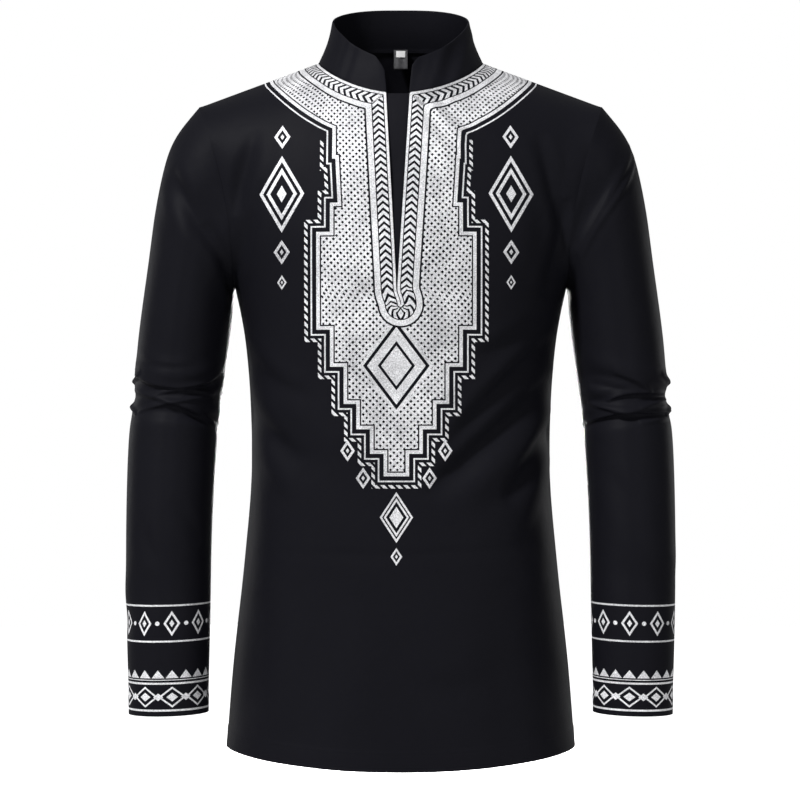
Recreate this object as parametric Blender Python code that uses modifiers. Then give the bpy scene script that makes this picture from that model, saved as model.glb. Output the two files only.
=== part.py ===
"""Long-sleeve pullover shirt with a stand collar and an open neck slit, hollow and in its worn pose.

Metres, +Z up. The front faces -Y, and the wearer's left is +X. The origin is midway between the two
points where the shoulder seams meet the collar, where the wearer's shoulders carry the shirt.
"""

import math
from collections import namedtuple

import bmesh
import bpy
import numpy as np

# Cloth walls and the gap that neighbouring pieces keep
CLOTH_WALL = 0.0015
COLLAR_WALL = 0.0022
LABEL_WALL = 0.0010
SEAM_GAP = 0.0003
# The cloth runs square to its seam for this far, so that the two walls' edges face each other
SEAM_BAND = 0.0015

# Heights and half widths of the body, seen from the front
HEM_HEIGHT = -0.7265
HEM_DROP = 0.0125
UNDERARM_HEIGHT = -0.240
UNDERARM_HALF = 0.177
NECK_HALF = 0.0880
SHOULDER_HALF = 0.2145
SHOULDER_SLOPE = 0.3700
SHOULDER_HEIGHT = SHOULDER_SLOPE * (NECK_HALF - SHOULDER_HALF)

# Neckline: its height at the centre, and the two powers of its curve
Neck = namedtuple("Neck", "height across down below_ridge")
NECK = {
    "front": Neck(-0.041, 2.0, 0.75, 0.055),
    "back": Neck(0.023, 2.6, 0.50, 0.037),
}
SLIT_HALF = 0.0118
SLIT_END = -0.252
# The slit stands a little to the wearer's right of the middle
SLIT_SHIFT = -0.0040

# How round the body's sections and the shoulder's ridge are
FULLNESS = 2.3
RIDGE_FULLNESS = 2.2
RIDGE_HEIGHT = 0.080
RIDGE_CURVE = 1.25

# Armhole: how far forward or back it reaches, and how deep its round bottom is
ARMHOLE_REACH = 0.072
ARMHOLE_BOTTOM = 0.072

# Stand collar
COLLAR_RISE_FRONT = 0.0370
COLLAR_RISE_SIDE = 0.0440
COLLAR_LEAN = 0.165
COLLAR_CORNER = 0.013
COLLAR_END_SPLAY = 0.004
COLLAR_FLARE = 0.0022

# Panel behind the slit, neck label and the white tab on it
GUARD_HALF = 0.026
GUARD_BOTTOM = -0.285
GUARD_COLUMNS = 6
LABEL_HALF = 0.0075
LABEL_TOP = 0.0245
LABEL_LENGTH = 0.0215
TAB_HALF = 0.0050
TAB_TOP = 0.0232
TAB_LENGTH = 0.0070
# How far the guard hangs from the panel's inner side, and the tapes' faces from the back neckline
GUARD_HANG = 0.0012
LABEL_HANG = 0.0048
TAB_HANG = 0.0013

# How much the panels' grids are evened out
RELAX_PASSES = 8
RELAX_SHARE = 0.5

# Mesh counts
HEM_ROWS = 18
ARMHOLE_ROWS = 12
NECK_COLUMNS = 8
SHOULDER_COLUMNS = 5
COLLAR_ROWS = 4
COLLAR_END_COLUMNS = (0.10, 0.25, 0.45, 0.70)

Body = namedtuple("Body", "height half_width front back")
BODY = (
    Body(-0.740, 0.1870, 0.1300, 0.1270),
    Body(-0.640, 0.1790, 0.1270, 0.1230),
    Body(-0.535, 0.1675, 0.1220, 0.1140),
    Body(-0.432, 0.1595, 0.1180, 0.1050),
    Body(-0.381, 0.1600, 0.1180, 0.1040),
    Body(-0.317, 0.1640, 0.1210, 0.1090),
    Body(-0.278, 0.1690, 0.1240, 0.1140),
    Body(-0.240, 0.1770, 0.1260, 0.1190),
    Body(-0.178, 0.1770, 0.1235, 0.1240),
    Body(-0.128, 0.1770, 0.1140, 0.1220),
    Body(-0.088, 0.1770, 0.1020, 0.1160),
    Body(-0.041, 0.1770, 0.0860, 0.1040),
    Body(0.002, 0.1770, 0.0780, 0.0900),
    Body(0.032, 0.1770, 0.0700, 0.0860),
)

# Where the armhole seam runs, seen from the front and from behind
Armhole = namedtuple("Armhole", "height front back")
ARMHOLE = (
    Armhole(UNDERARM_HEIGHT, UNDERARM_HALF, UNDERARM_HALF),
    Armhole(-0.2130, 0.1762, 0.1785),
    Armhole(-0.1780, 0.1790, 0.1830),
    Armhole(-0.1280, 0.1880, 0.1930),
    Armhole(-0.0880, 0.1990, 0.2030),
    Armhole(SHOULDER_HEIGHT, SHOULDER_HALF, SHOULDER_HALF),
)

# Sleeve sections: outermost and innermost point seen from the front, half depth, how far the middle
# stands forward, and the rings from this section to the next
Sleeve = namedtuple("Sleeve", "outer_x outer_z inner_x inner_z half_depth forward rings")
SLEEVE = (
    Sleeve(SHOULDER_HALF, SHOULDER_HEIGHT, UNDERARM_HALF, UNDERARM_HEIGHT, 0.0720, 0.000, 3),
    Sleeve(0.2440, -0.0850, 0.1785, -0.2480, 0.0730, 0.000, 3),
    Sleeve(0.2595, -0.1430, 0.1790, -0.2620, 0.0710, 0.000, 3),
    Sleeve(0.2695, -0.2140, 0.1815, -0.2850, 0.0680, 0.001, 3),
    Sleeve(0.2800, -0.2940, 0.1855, -0.3160, 0.0630, 0.004, 7),
    Sleeve(0.2845, -0.3560, 0.1915, -0.3600, 0.0570, 0.008, 7),
    Sleeve(0.2895, -0.4060, 0.1955, -0.4050, 0.0540, 0.014, 4),
    Sleeve(0.2905, -0.4960, 0.1995, -0.4940, 0.0500, 0.028, 4),
    Sleeve(0.2885, -0.5940, 0.2005, -0.5920, 0.0440, 0.041, 3),
    Sleeve(0.2850, -0.6885, 0.2020, -0.6865, 0.0375, 0.049, 0),
)
# Share of the armhole's own shape that the rings keep, and over how many rings it fades
ARMHOLE_FADE_RINGS = 8

# Folds: a soft trough with a low ridge beside it, between two points of the surface. On the body the
# points are seen from the front or back; on a sleeve across is the turn from the inner side, in
# degrees, with 90 at the front.
Fold = namedtuple("Fold", "across_0 height_0 across_1 height_1 bow depth width")
FRONT_FOLDS = (
    Fold(-0.150, -0.095, -0.166, -0.215, -0.010, 0.0045, 0.015),
    Fold(0.158, -0.090, 0.166, -0.215, 0.010, 0.0045, 0.015),
    Fold(0.170, -0.300, 0.030, -0.455, 0.012, 0.0060, 0.020),
    Fold(0.175, -0.355, 0.075, -0.480, 0.010, 0.0040, 0.018),
    Fold(-0.172, -0.330, -0.080, -0.440, -0.010, 0.0045, 0.020),
    Fold(-0.085, -0.520, -0.110, -0.760, 0.006, 0.0035, 0.028),
    Fold(0.105, -0.540, 0.125, -0.760, -0.006, 0.0035, 0.028),
)
BACK_FOLDS = (
    Fold(-0.155, -0.100, -0.150, -0.235, 0.008, 0.0045, 0.016),
    Fold(0.155, -0.095, 0.148, -0.240, -0.008, 0.0045, 0.016),
    Fold(-0.150, -0.345, 0.020, -0.425, -0.014, 0.0050, 0.020),
    Fold(0.155, -0.320, -0.010, -0.395, -0.012, 0.0045, 0.020),
    Fold(-0.060, -0.500, -0.085, -0.760, 0.006, 0.0040, 0.030),
    Fold(0.070, -0.480, 0.095, -0.760, -0.006, 0.0040, 0.030),
)
LEFT_SLEEVE_FOLDS = (
    Fold(5, -0.252, 150, -0.105, 0.010, 0.0050, 0.012),
    Fold(20, -0.330, 185, -0.352, -0.004, 0.0042, 0.009),
    Fold(-10, -0.368, 215, -0.357, 0.004, 0.0055, 0.008),
    Fold(-15, -0.391, 190, -0.374, 0.006, 0.0052, 0.008),
    Fold(190, -0.340, 350, -0.356, -0.006, 0.0045, 0.010),
    Fold(200, -0.383, 340, -0.378, 0.008, 0.0045, 0.009),
    Fold(60, -0.520, 170, -0.560, -0.008, 0.0025, 0.018),
)
RIGHT_SLEEVE_FOLDS = (
    Fold(5, -0.250, 150, -0.120, 0.008, 0.0050, 0.012),
    Fold(0, -0.333, 190, -0.331, -0.016, 0.0050, 0.008),
    Fold(-15, -0.357, 205, -0.353, -0.004, 0.0045, 0.008),
    Fold(-15, -0.391, 180, -0.374, 0.010, 0.0052, 0.008),
    Fold(195, -0.345, 350, -0.350, -0.006, 0.0045, 0.010),
    Fold(195, -0.381, 335, -0.385, 0.006, 0.0045, 0.009),
    Fold(100, -0.545, 185, -0.600, -0.010, 0.0025, 0.018),
)
# The ridge beside a trough: its share of the depth, and how many fold widths aside it runs
RIDGE_SHARE = 0.45
RIDGE_ASIDE = 1.7
# The length round a sleeve that a whole turn stands for
SLEEVE_GIRTH = 0.30
# Folds fade out over this distance from a panel's seams and from a sleeve's two ends
FOLD_FREE_EDGE = 0.020
SLEEVE_FREE_EDGE = 0.030


def clear_scene():
    for obj in list(bpy.data.objects):
        bpy.data.objects.remove(obj, do_unlink=True)


def smooth(table, column, at):
    """A table's column at one height, on a curve through the rows; the first field orders them."""
    keys = [row[0] for row in table]
    values = [getattr(row, column) for row in table]
    at = min(max(at, keys[0]), keys[-1])
    i = min(max(int(np.searchsorted(keys, at)) - 1, 0), len(keys) - 2)
    slopes = np.gradient(values, keys)
    step = keys[i + 1] - keys[i]
    t = (at - keys[i]) / step
    return (
        (2 * t**3 - 3 * t**2 + 1) * values[i]
        + (t**3 - 2 * t**2 + t) * step * slopes[i]
        + (3 * t**2 - 2 * t**3) * values[i + 1]
        + (t**3 - t**2) * step * slopes[i + 1]
    )


def rounded(share, fullness):
    """Height of a unit superellipse at a share of its half width."""
    return max(1.0 - min(abs(share), 1.0) ** fullness, 0.0) ** (1.0 / fullness)


def shoulder_height(x):
    """Height of the shoulder's ridge, on the straight line through the seam."""
    return SHOULDER_SLOPE * (NECK_HALF - abs(x))


def armhole_reach(z):
    """How far the armhole stands forward or back of the side seam's line, before the shoulder rounds."""
    below = (UNDERARM_HEIGHT + ARMHOLE_BOTTOM - z) / ARMHOLE_BOTTOM
    return ARMHOLE_REACH * math.sqrt(1.0 - min(max(below, 0.0), 1.0) ** 2)


def section_half(z, side):
    """Half width of the oval that the panel follows at this height."""
    if z <= UNDERARM_HEIGHT:
        return smooth(BODY, "half_width", z)
    depth = smooth(BODY, side, z)
    return smooth(ARMHOLE, side, z) / rounded(armhole_reach(z) / depth, FULLNESS)


def panel_depth(x, z, side):
    """How far the front stands forward, or the back stands back, seen at x and z."""
    depth = smooth(BODY, side, z) * rounded(x / section_half(z, side), FULLNESS)
    below = (z - ridge_height(x, side) + RIDGE_HEIGHT) / RIDGE_HEIGHT
    return depth * rounded(max(below, 0.0), RIDGE_FULLNESS)


def neck_height(x, side):
    neck = NECK[side]
    share = min(abs(x) / NECK_HALF, 1.0)
    return neck.height * (1.0 - share**neck.across) ** neck.down


def ridge_height(x, side):
    """Where the cloth would reach the ridge; within the neck that is somewhat above the neckline."""
    if abs(x) >= NECK_HALF:
        return shoulder_height(x)
    share = abs(x) / NECK_HALF
    return neck_height(x, side) + NECK[side].below_ridge * (1.0 - share**2) ** RIDGE_CURVE


def fold_offset(across, height, folds):
    """How far the folds push the cloth in (minus) or out at a point of its surface."""
    offset = 0.0
    for fold in folds:
        run = np.array([fold.across_1 - fold.across_0, fold.height_1 - fold.height_0])
        length = float(np.hypot(*run))
        place = np.array([across - fold.across_0, height - fold.height_0])
        along = float(place @ run) / length**2
        if not 0.0 < along < 1.0:
            continue
        aside = float(place[1] * run[0] - place[0] * run[1]) / length
        aside -= fold.bow * 4.0 * along * (1.0 - along)
        fade = math.sin(math.pi * along)
        trough = math.exp(-((aside / fold.width) ** 2))
        ridge = math.exp(-((aside / fold.width - RIDGE_ASIDE) ** 2))
        offset -= fold.depth * fade * (trough - RIDGE_SHARE * ridge)
    return offset


def panel_point(x, z, side):
    """A point of the outer surface, before its folds."""
    depth = panel_depth(x, z, side) + SEAM_GAP / 2
    if side == "front" and z > SLIT_END:
        x += SLIT_SHIFT * max(1.0 - abs(x) / NECK_HALF, 0.0) ** 2
    return np.array([x, -depth if side == "front" else depth, z])


def relaxed(rows):
    """The grid with its points inside the edges drawn towards their neighbours, as cloth evens itself out."""
    grid = np.array(rows)
    for _ in range(RELAX_PASSES):
        around = grid[2:, 1:-1] + grid[:-2, 1:-1] + grid[1:-1, 2:] + grid[1:-1, :-2]
        centre = grid[2:, 0] + grid[:-2, 0] + 2 * grid[1:-1, 1]
        grid[1:-1, 1:-1] += RELAX_SHARE * (around / 4 - grid[1:-1, 1:-1])
        grid[1:-1, 0, 1:] += RELAX_SHARE * (centre / 4 - grid[1:-1, 0])[:, 1:]
    return grid


def top_boundary(side):
    """The neckline and the shoulder seam from the centre outwards, as x and z seen from the front."""
    start = math.asin(SLIT_HALF / NECK_HALF) if side == "front" else 0.0
    points = []
    for i in range(NECK_COLUMNS + 1):
        x = NECK_HALF * math.sin(start + (math.pi / 2 - start) * i / NECK_COLUMNS)
        points.append((x, neck_height(x, side)))
    for i in range(1, SHOULDER_COLUMNS + 1):
        x = NECK_HALF + (SHOULDER_HALF - NECK_HALF) * i / SHOULDER_COLUMNS
        points.append((x, shoulder_height(x)))
    return np.array(points)


def turns(count):
    """Turns from the centre of the panel to its side."""
    return [math.pi / 2 * i / count for i in range(count + 1)]


def chest_line(turn):
    """Height of the row that runs from the slit's end to the underarm."""
    return UNDERARM_HEIGHT + (SLIT_END - UNDERARM_HEIGHT) * math.cos(turn) ** 2


def upper_half(side):
    """The panel's half from the underarm up, as rows of x and z between its four edges."""
    top = top_boundary(side)
    count = len(top) - 1
    low = [np.array([UNDERARM_HALF * math.sin(turn), chest_line(turn)]) for turn in turns(count)]
    rows = []
    for j in range(ARMHOLE_ROWS + 1):
        t = (1.0 - math.cos(math.pi * j / ARMHOLE_ROWS)) / 2.0
        centre = (1 - t) * low[0] + t * top[0]
        edge_z = UNDERARM_HEIGHT + t * (top[-1][1] - UNDERARM_HEIGHT)
        edge = np.array([smooth(ARMHOLE, side, edge_z), edge_z])
        row = []
        for i in range(count + 1):
            s = i / count
            corners = (1 - s) * centre + s * ((1 - t) * low[-1] + t * top[-1])
            row.append((1 - s) * centre + s * edge + (1 - t) * low[i] + t * top[i] - corners)
        rows.append(row)
    return rows


def lower_half(side, count):
    """The panel's half from the hem to the underarm, as rows of x and z."""
    rows = []
    for j in range(HEM_ROWS):
        share = j / HEM_ROWS
        row = []
        for turn in turns(count):
            hem = HEM_HEIGHT - HEM_DROP * math.cos(turn) ** 2
            z = hem + share * (chest_line(turn) - hem)
            row.append((section_half(z, side) * math.sin(turn), z))
        rows.append(row)
    return rows


def panel_half(side, hand, folds):
    """Rows of points of one half of a panel; hand is 1 for the wearer's left and -1 for the right."""
    upper = upper_half(side)
    flat = lower_half(side, len(upper[0]) - 1) + upper
    grid = relaxed([[panel_point(hand * x, z, side) for x, z in row] for row in flat])
    out = -1.0 if side == "front" else 1.0
    for row in grid:
        edge = row[-1].copy()
        for point in row:
            nearest = min(np.linalg.norm(point - edge), abs(shoulder_height(point[0]) - point[2]))
            fade = min(nearest / FOLD_FREE_EDGE, 1.0)
            point[1] += out * fade * fold_offset(point[0], point[2], folds)
    rows = [list(row) for row in grid]
    top, below = rows[-1], rows[-2]
    rows.insert(-1, [band_point(edge, low, 2, abs(edge[0]) >= NECK_HALF) for edge, low in zip(top, below)])
    for j, row in enumerate(rows):
        row.insert(-1, band_point(row[-1], row[-2], 0, j <= HEM_ROWS))
    return rows


def band_point(edge, inner, axis, square):
    """A point just short of a panel's edge; if square, the edge and it are level along the axis."""
    way = inner - edge
    if square:
        way[axis] = 0.0
    return edge + SEAM_BAND * way / np.linalg.norm(way)


def neck_line(hand, side):
    """The outer neckline points of one half, from the centre to the shoulder."""
    top = top_boundary(side)[: NECK_COLUMNS + 1]
    return [panel_point(hand * x, z, side) for x, z in top]


def surface_mesh(name, patches):
    """An open surface from patches, each (rows of points, closed round, faces turned)."""
    mesh = bmesh.new()
    for rows, closed, turned in patches:
        grid = [[mesh.verts.new(point) for point in row] for row in rows]
        for low, high in zip(grid, grid[1:]):
            pairs = list(zip(low, low[1:], high[1:], high))
            if closed:
                pairs.append((low[-1], low[0], high[0], high[-1]))
            for corners in pairs:
                mesh.faces.new(corners[::-1] if turned else corners)
    bmesh.ops.remove_doubles(mesh, verts=mesh.verts, dist=1e-6)
    data = bpy.data.meshes.new(name)
    mesh.to_mesh(data)
    mesh.free()
    data.shade_smooth()
    return data


def cloth(name, patches, wall, material, collection):
    """A named wall of cloth: its outer surface, thickened inwards."""
    obj = bpy.data.objects.new(name, surface_mesh(name, patches))
    collection.objects.link(obj)
    obj.data.materials.append(material)
    thicken = obj.modifiers.new("wall", "SOLIDIFY")
    thicken.thickness = wall
    thicken.offset = -1.0
    return obj


def make_panel(name, side, folds, material, collection):
    patches = []
    for hand in (1, -1):
        turned = (side == "back") == (hand == 1)
        patches.append((panel_half(side, hand, folds), False, turned))
    return cloth(name, patches, CLOTH_WALL, material, collection)


def armhole_loop(hand):
    """The armhole seam from the underarm up the front, over the shoulder and down the back."""
    front = [row[-1] for row in panel_half("front", hand, ())[HEM_ROWS:]]
    back = [row[-1] for row in panel_half("back", hand, ())[HEM_ROWS:]]
    # the front's and the back's end points meet at the seams, so one point stands for both there
    underarm = (front[0] + back[0]) / 2
    shoulder = (front[-1] + back[-1]) / 2
    return [underarm, *front[1:-1], shoulder, *back[-2:0:-1]]


def sleeve_sections():
    """The sleeve's sections, interpolated to one for each ring."""
    values = np.array([row[:-1] for row in SLEEVE])
    slopes = np.gradient(values, axis=0)
    rings = []
    for i, row in enumerate(SLEEVE[:-1]):
        for k in range(row.rings):
            t = k / row.rings
            rings.append(
                (2 * t**3 - 3 * t**2 + 1) * values[i]
                + (t**3 - 2 * t**2 + t) * slopes[i]
                + (3 * t**2 - 2 * t**3) * values[i + 1]
                + (t**3 - t**2) * slopes[i + 1]
            )
    rings.append(values[-1])
    return [Sleeve(*ring, 0) for ring in rings]


def sleeve_ring(section, hand, count):
    """An oval ring between the section's inner and outer point."""
    points = []
    for k in range(count):
        turn = 2 * math.pi * k / count
        out = (1.0 - math.cos(turn)) / 2.0
        x = section.inner_x + out * (section.outer_x - section.inner_x)
        z = section.inner_z + out * (section.outer_z - section.inner_z)
        y = -section.forward - section.half_depth * math.sin(turn)
        points.append(np.array([hand * x, y, z]))
    return points


def push_folds(rings, folds, hand):
    """Moves each ring's points along the sleeve's normal by its folds."""
    pushed = []
    count = len(rings[0])
    for j, ring in enumerate(rings):
        middle = sum(ring) / count
        start = np.linalg.norm(middle - sum(rings[0]) / count)
        end = np.linalg.norm(middle - sum(rings[-1]) / count)
        fade = min(start / SLEEVE_FREE_EDGE, end / SLEEVE_FREE_EDGE, 1.0)
        row = []
        for k, point in enumerate(ring):
            degrees = 360.0 * k / count
            offset = 0.0
            for turn in (degrees, degrees - 360.0):
                across = math.radians(turn) / (2 * math.pi) * SLEEVE_GIRTH
                offset += fold_offset(across, point[2], folds)
            around = ring[(k + 1) % count] - ring[k - 1]
            along = rings[min(j + 1, len(rings) - 1)][k] - rings[max(j - 1, 0)][k]
            normal = hand * np.cross(around, along)
            row.append(point + fade * offset * normal / max(np.linalg.norm(normal), 1e-9))
        pushed.append(row)
    return pushed


def sleeve_folds(table):
    """The table's turns in degrees as lengths round the sleeve."""
    per_degree = SLEEVE_GIRTH / 360.0
    return [f._replace(across_0=f.across_0 * per_degree, across_1=f.across_1 * per_degree) for f in table]


def make_sleeve(name, hand, folds, material, collection):
    loop = armhole_loop(hand)
    sections = sleeve_sections()
    count = len(loop)
    first = sleeve_ring(sections[0], hand, count)
    rings = []
    for j, section in enumerate(sections):
        keep = max(1.0 - j / ARMHOLE_FADE_RINGS, 0.0)
        keep = keep * keep * (3.0 - 2.0 * keep)
        ring = sleeve_ring(section, hand, count)
        rings.append([p + keep * (a - b) for p, a, b in zip(ring, loop, first)])
    rings = push_folds(rings, sleeve_folds(folds), hand)
    gap = np.array([hand * SEAM_GAP, 0.0, 0.0])
    band = np.array([hand * SEAM_BAND, 0.0, 0.0])
    rings = [[point + gap for point in loop]] + [[point + gap + band for point in ring] for ring in rings]
    return cloth(name, [(rings, True, hand == 1)], CLOTH_WALL, material, collection)


def collar_height(distance):
    """Share of the collar's height at a distance from its front end, with the corner rounded."""
    if distance >= COLLAR_CORNER:
        return 1.0
    missing = COLLAR_CORNER - math.sqrt(COLLAR_CORNER**2 - (COLLAR_CORNER - distance) ** 2)
    return 1.0 - missing / COLLAR_RISE_FRONT


def collar_column(base, side):
    """The collar's points above one point of the neckline, leaning in as they rise."""
    x, y, z = base
    forward = min(max(-y / panel_depth(SLIT_HALF, NECK["front"].height, "front"), 0.0), 1.0)
    rise = COLLAR_RISE_SIDE + (COLLAR_RISE_FRONT - COLLAR_RISE_SIDE) * forward
    from_end = abs(x - SLIT_SHIFT) - SLIT_HALF if side == "front" else COLLAR_CORNER
    share = collar_height(max(from_end, 0.0))
    near_end = math.exp(-((from_end / COLLAR_CORNER) ** 2)) if side == "front" else 0.0
    splay = math.copysign(COLLAR_END_SPLAY, x) * near_end + COLLAR_LEAN * x * near_end
    column = []
    for k in range(COLLAR_ROWS + 1):
        up = share * k / COLLAR_ROWS
        lean = 1.0 - COLLAR_LEAN * up - COLLAR_FLARE / NECK_HALF * math.sin(math.pi * up)
        column.append(np.array([x * lean + splay * up, y * lean, z + SEAM_GAP + rise * up]))
    return column


def collar_base(hand):
    """The neckline of one half from the slit to the back's centre, with more points by the collar's end."""
    line = [(point, "front") for point in neck_line(hand, "front")]
    end, second = line[0][0], line[1][0]
    extra = [(end + share * (second - end), "front") for share in COLLAR_END_COLUMNS]
    return line[:1] + extra + line[1:] + [(point, "back") for point in neck_line(hand, "back")[-2::-1]]


def make_collar(material, collection):
    left = [collar_column(*place) for place in collar_base(1)]
    right = [collar_column(*place) for place in collar_base(-1)]
    columns = left + right[-2::-1]
    rows = [[column[k] for column in columns] for k in range(COLLAR_ROWS + 1)]
    return cloth("collar", [(rows, False, False)], COLLAR_WALL, material, collection)


def make_guard(material, collection):
    """The panel behind the slit: the front's own points, moved in."""
    inset = CLOTH_WALL + GUARD_HANG
    halves = [panel_half("front", hand, FRONT_FOLDS) for hand in (-1, 1)]
    rows = []
    for right, left in list(zip(*halves))[:-1]:
        line = np.array(right[::-1] + left)
        if left[0][2] < GUARD_BOTTOM:
            continue
        row = []
        for i in range(GUARD_COLUMNS + 1):
            x = SLIT_SHIFT + GUARD_HALF * (2.0 * i / GUARD_COLUMNS - 1.0)
            y = np.interp(x, line[:, 0], line[:, 1])
            z = np.interp(x, line[:, 0], line[:, 2])
            row.append(np.array([x, y + inset, z]))
        rows.append(row)
    return cloth("slit_guard", [(rows, False, False)], CLOTH_WALL, material, collection)


def make_tape(name, half, top, length, hang, material, collection):
    """A small tape that hangs straight down inside the back of the neck."""
    y = neck_line(1, "back")[0][1] - hang
    rows = []
    for z in (top - length, top - length / 2, top):
        rows.append([np.array([x, y, z]) for x in (-half, 0.0, half)])
    return cloth(name, [(rows, False, False)], LABEL_WALL, material, collection)


def cloth_material(name, colour, roughness):
    material = bpy.data.materials.new(name)
    material.use_nodes = True
    shader = material.node_tree.nodes["Principled BSDF"]
    shader.inputs["Base Color"].default_value = (*colour, 1.0)
    shader.inputs["Roughness"].default_value = roughness
    shader.inputs["Metallic"].default_value = 0.0
    return material


def main():
    clear_scene()
    shirt = bpy.data.collections.new("long_sleeve_shirt")
    bpy.context.scene.collection.children.link(shirt)
    black = cloth_material("black_cloth", (0.012, 0.012, 0.015), 0.75)
    label = cloth_material("label_cloth", (0.050, 0.050, 0.055), 0.60)
    white = cloth_material("tab_cloth", (0.80, 0.80, 0.80), 0.60)

    make_panel("front", "front", FRONT_FOLDS, black, shirt)
    make_panel("back", "back", BACK_FOLDS, black, shirt)
    make_sleeve("sleeve_left", 1, LEFT_SLEEVE_FOLDS, black, shirt)
    make_sleeve("sleeve_right", -1, RIGHT_SLEEVE_FOLDS, black, shirt)
    make_collar(black, shirt)

    make_guard(black, shirt)
    make_tape("neck_label", LABEL_HALF, LABEL_TOP, LABEL_LENGTH, LABEL_HANG, label, shirt)
    make_tape("size_tab", TAB_HALF, TAB_TOP, TAB_LENGTH, LABEL_HANG + TAB_HANG, white, shirt)


main()
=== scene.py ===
"""Looks of the long-sleeve shirt: cloth shells on the solids' forms, their folds, seams, print and label."""

import math
from collections import namedtuple
from functools import partialmethod

import bpy
import numpy as np
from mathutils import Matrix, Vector


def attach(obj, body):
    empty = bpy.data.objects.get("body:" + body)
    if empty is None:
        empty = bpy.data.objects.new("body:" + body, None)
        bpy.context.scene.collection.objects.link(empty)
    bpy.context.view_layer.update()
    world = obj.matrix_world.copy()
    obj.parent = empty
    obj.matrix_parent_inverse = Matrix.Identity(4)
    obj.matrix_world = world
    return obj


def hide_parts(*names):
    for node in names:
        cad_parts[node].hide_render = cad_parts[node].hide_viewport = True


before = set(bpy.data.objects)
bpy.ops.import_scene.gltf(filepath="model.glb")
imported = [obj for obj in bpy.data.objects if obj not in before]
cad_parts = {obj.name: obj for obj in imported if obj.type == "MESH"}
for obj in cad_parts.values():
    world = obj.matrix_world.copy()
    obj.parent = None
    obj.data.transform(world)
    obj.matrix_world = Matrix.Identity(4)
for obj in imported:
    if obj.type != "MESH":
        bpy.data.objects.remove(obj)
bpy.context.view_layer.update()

MM = 0.001

# The solids' wall, and the gap that neighbouring shells keep
CLOTH_WALL = 0.0015
SEAM_GAP = 0.00006
# How far short of the shoulder seam the armhole has one more point
SEAM_BAND = 0.0015

# Heights and half widths of the body, seen from the front
HEM_HEIGHT = -0.7265
HEM_DROP = 0.0125
UNDERARM_HEIGHT = -0.240
UNDERARM_HALF = 0.177
NECK_HALF = 0.0880
SHOULDER_HALF = 0.2145
SHOULDER_SLOPE = 0.3700
SHOULDER_HEIGHT = SHOULDER_SLOPE * (NECK_HALF - SHOULDER_HALF)

# Neckline: its height at the centre, and the two powers of its curve
Neck = namedtuple("Neck", "height across down below_ridge")
NECK = {
    "front": Neck(-0.041, 2.0, 0.75, 0.055),
    "back": Neck(0.023, 2.6, 0.50, 0.037),
}
SLIT_HALF = 0.0118
SLIT_END = -0.252
# The slit stands a little to the wearer's right of the middle
SLIT_SHIFT = -0.0040

# How round the body's sections and the shoulder's ridge are
FULLNESS = 2.3
RIDGE_FULLNESS = 2.2
RIDGE_HEIGHT = 0.080
RIDGE_POWER = 1.25

# Armhole: how far forward or back it reaches, and how deep its round bottom is
ARMHOLE_REACH = 0.072
ARMHOLE_BOTTOM = 0.072

# Stand collar
COLLAR_RISE_FRONT = 0.0370
COLLAR_RISE_SIDE = 0.0440
COLLAR_LEAN = 0.165
COLLAR_CORNER = 0.013
COLLAR_END_SPLAY = 0.004
COLLAR_FLARE = 0.0022

# Panel behind the slit, neck label and the white tab on it
GUARD_HALF = 0.026
GUARD_BOTTOM = -0.285
LABEL_HALF = 0.0075
LABEL_TOP = 0.0245
LABEL_LENGTH = 0.0215
TAB_HALF = 0.0050
TAB_TOP = 0.0232
TAB_LENGTH = 0.0070
# How far the guard hangs from the panel's inner side, the label from the back neckline, and the tab from it
GUARD_HANG = 0.0012
LABEL_HANG = 0.0054
TAB_HANG = 0.0021

# The solids' mesh: rows and columns, and how much its panels are evened out
HEM_ROWS = 18
ARMHOLE_ROWS = 12
NECK_COLUMNS = 8
SHOULDER_COLUMNS = 5
COLLAR_ROWS = 4
RELAX_PASSES = 8
EVEN_SHARE = 0.5

# The shells' mesh: steps along and round the cloth, and where a sleeve's rows are closer
CLOTH_STEP = 0.0031
SLEEVE_STEP = 0.0036
SLEEVE_ASIDE = 0.00195
GUARD_STEP = 0.0030
Closer = namedtuple("Closer", "top foot step")
CLOSER_ROWS = (Closer(-0.070, -0.262, 0.0022), Closer(-0.318, -0.396, 0.0012))
COLLAR_FINE_ROWS = 18
GUARD_POINTS = 19
EVEN_PASSES = 14
EDGE_SHARE = 0.07
WELD = 2e-6

# Shell thicknesses, and the rounding of edges that turn by more than an angle in degrees
THIN = 0.0008
COLLAR_THICK = 0.0019
GUARD_THICK = 0.0009
TAPE_THICK = 0.0004
COLLAR_BEVEL = 0.0006
TAB_BEVEL = 0.0001
BEVEL_ANGLE = 50

# Seams dip, and turned hems stand proud
ROLL_WIDTH = 0.0030
ROLL_DEPTH = 0.0001
HEM_FOLD = 0.020
HEM_PROUD = 0.0005
HEM_RAMP = 0.001
COLLAR_TUCK = 0.0012
COLLAR_DIP = 0.0006
COLLAR_DIP_WIDTH = 0.0025
# The guard's soft waves (depth, and how close they are up and across), and its nearly level top
GUARD_WAVE = 0.0010
GUARD_WAVES_UP = 46
GUARD_WAVES_ACROSS = 60
GUARD_TOP_DROP = 0.0015
GUARD_TOP_LEVEL = 0.7
LABEL_LOOP = 0.0011
LABEL_FOLD = 0.0015
TAPE_WAVE = 0.0002
TAPE_WAVES_ACROSS = 700
TAB_BOW = 1.5

# Girths that turns round a sleeve are measured on: for creases, and for the print
SLEEVE_GIRTH = 0.30
CUFF_GIRTH = 0.249
DEGREE = SLEEVE_GIRTH / 360


def in_metres(kind, across_unit, *rows):
    """Rows in millimetres as rows in metres; their places across have a unit of their own."""
    units = [across_unit if name.startswith("across") else MM for name in kind._fields]
    return [kind(*(value * unit for value, unit in zip(row, units))) for row in rows]


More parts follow.
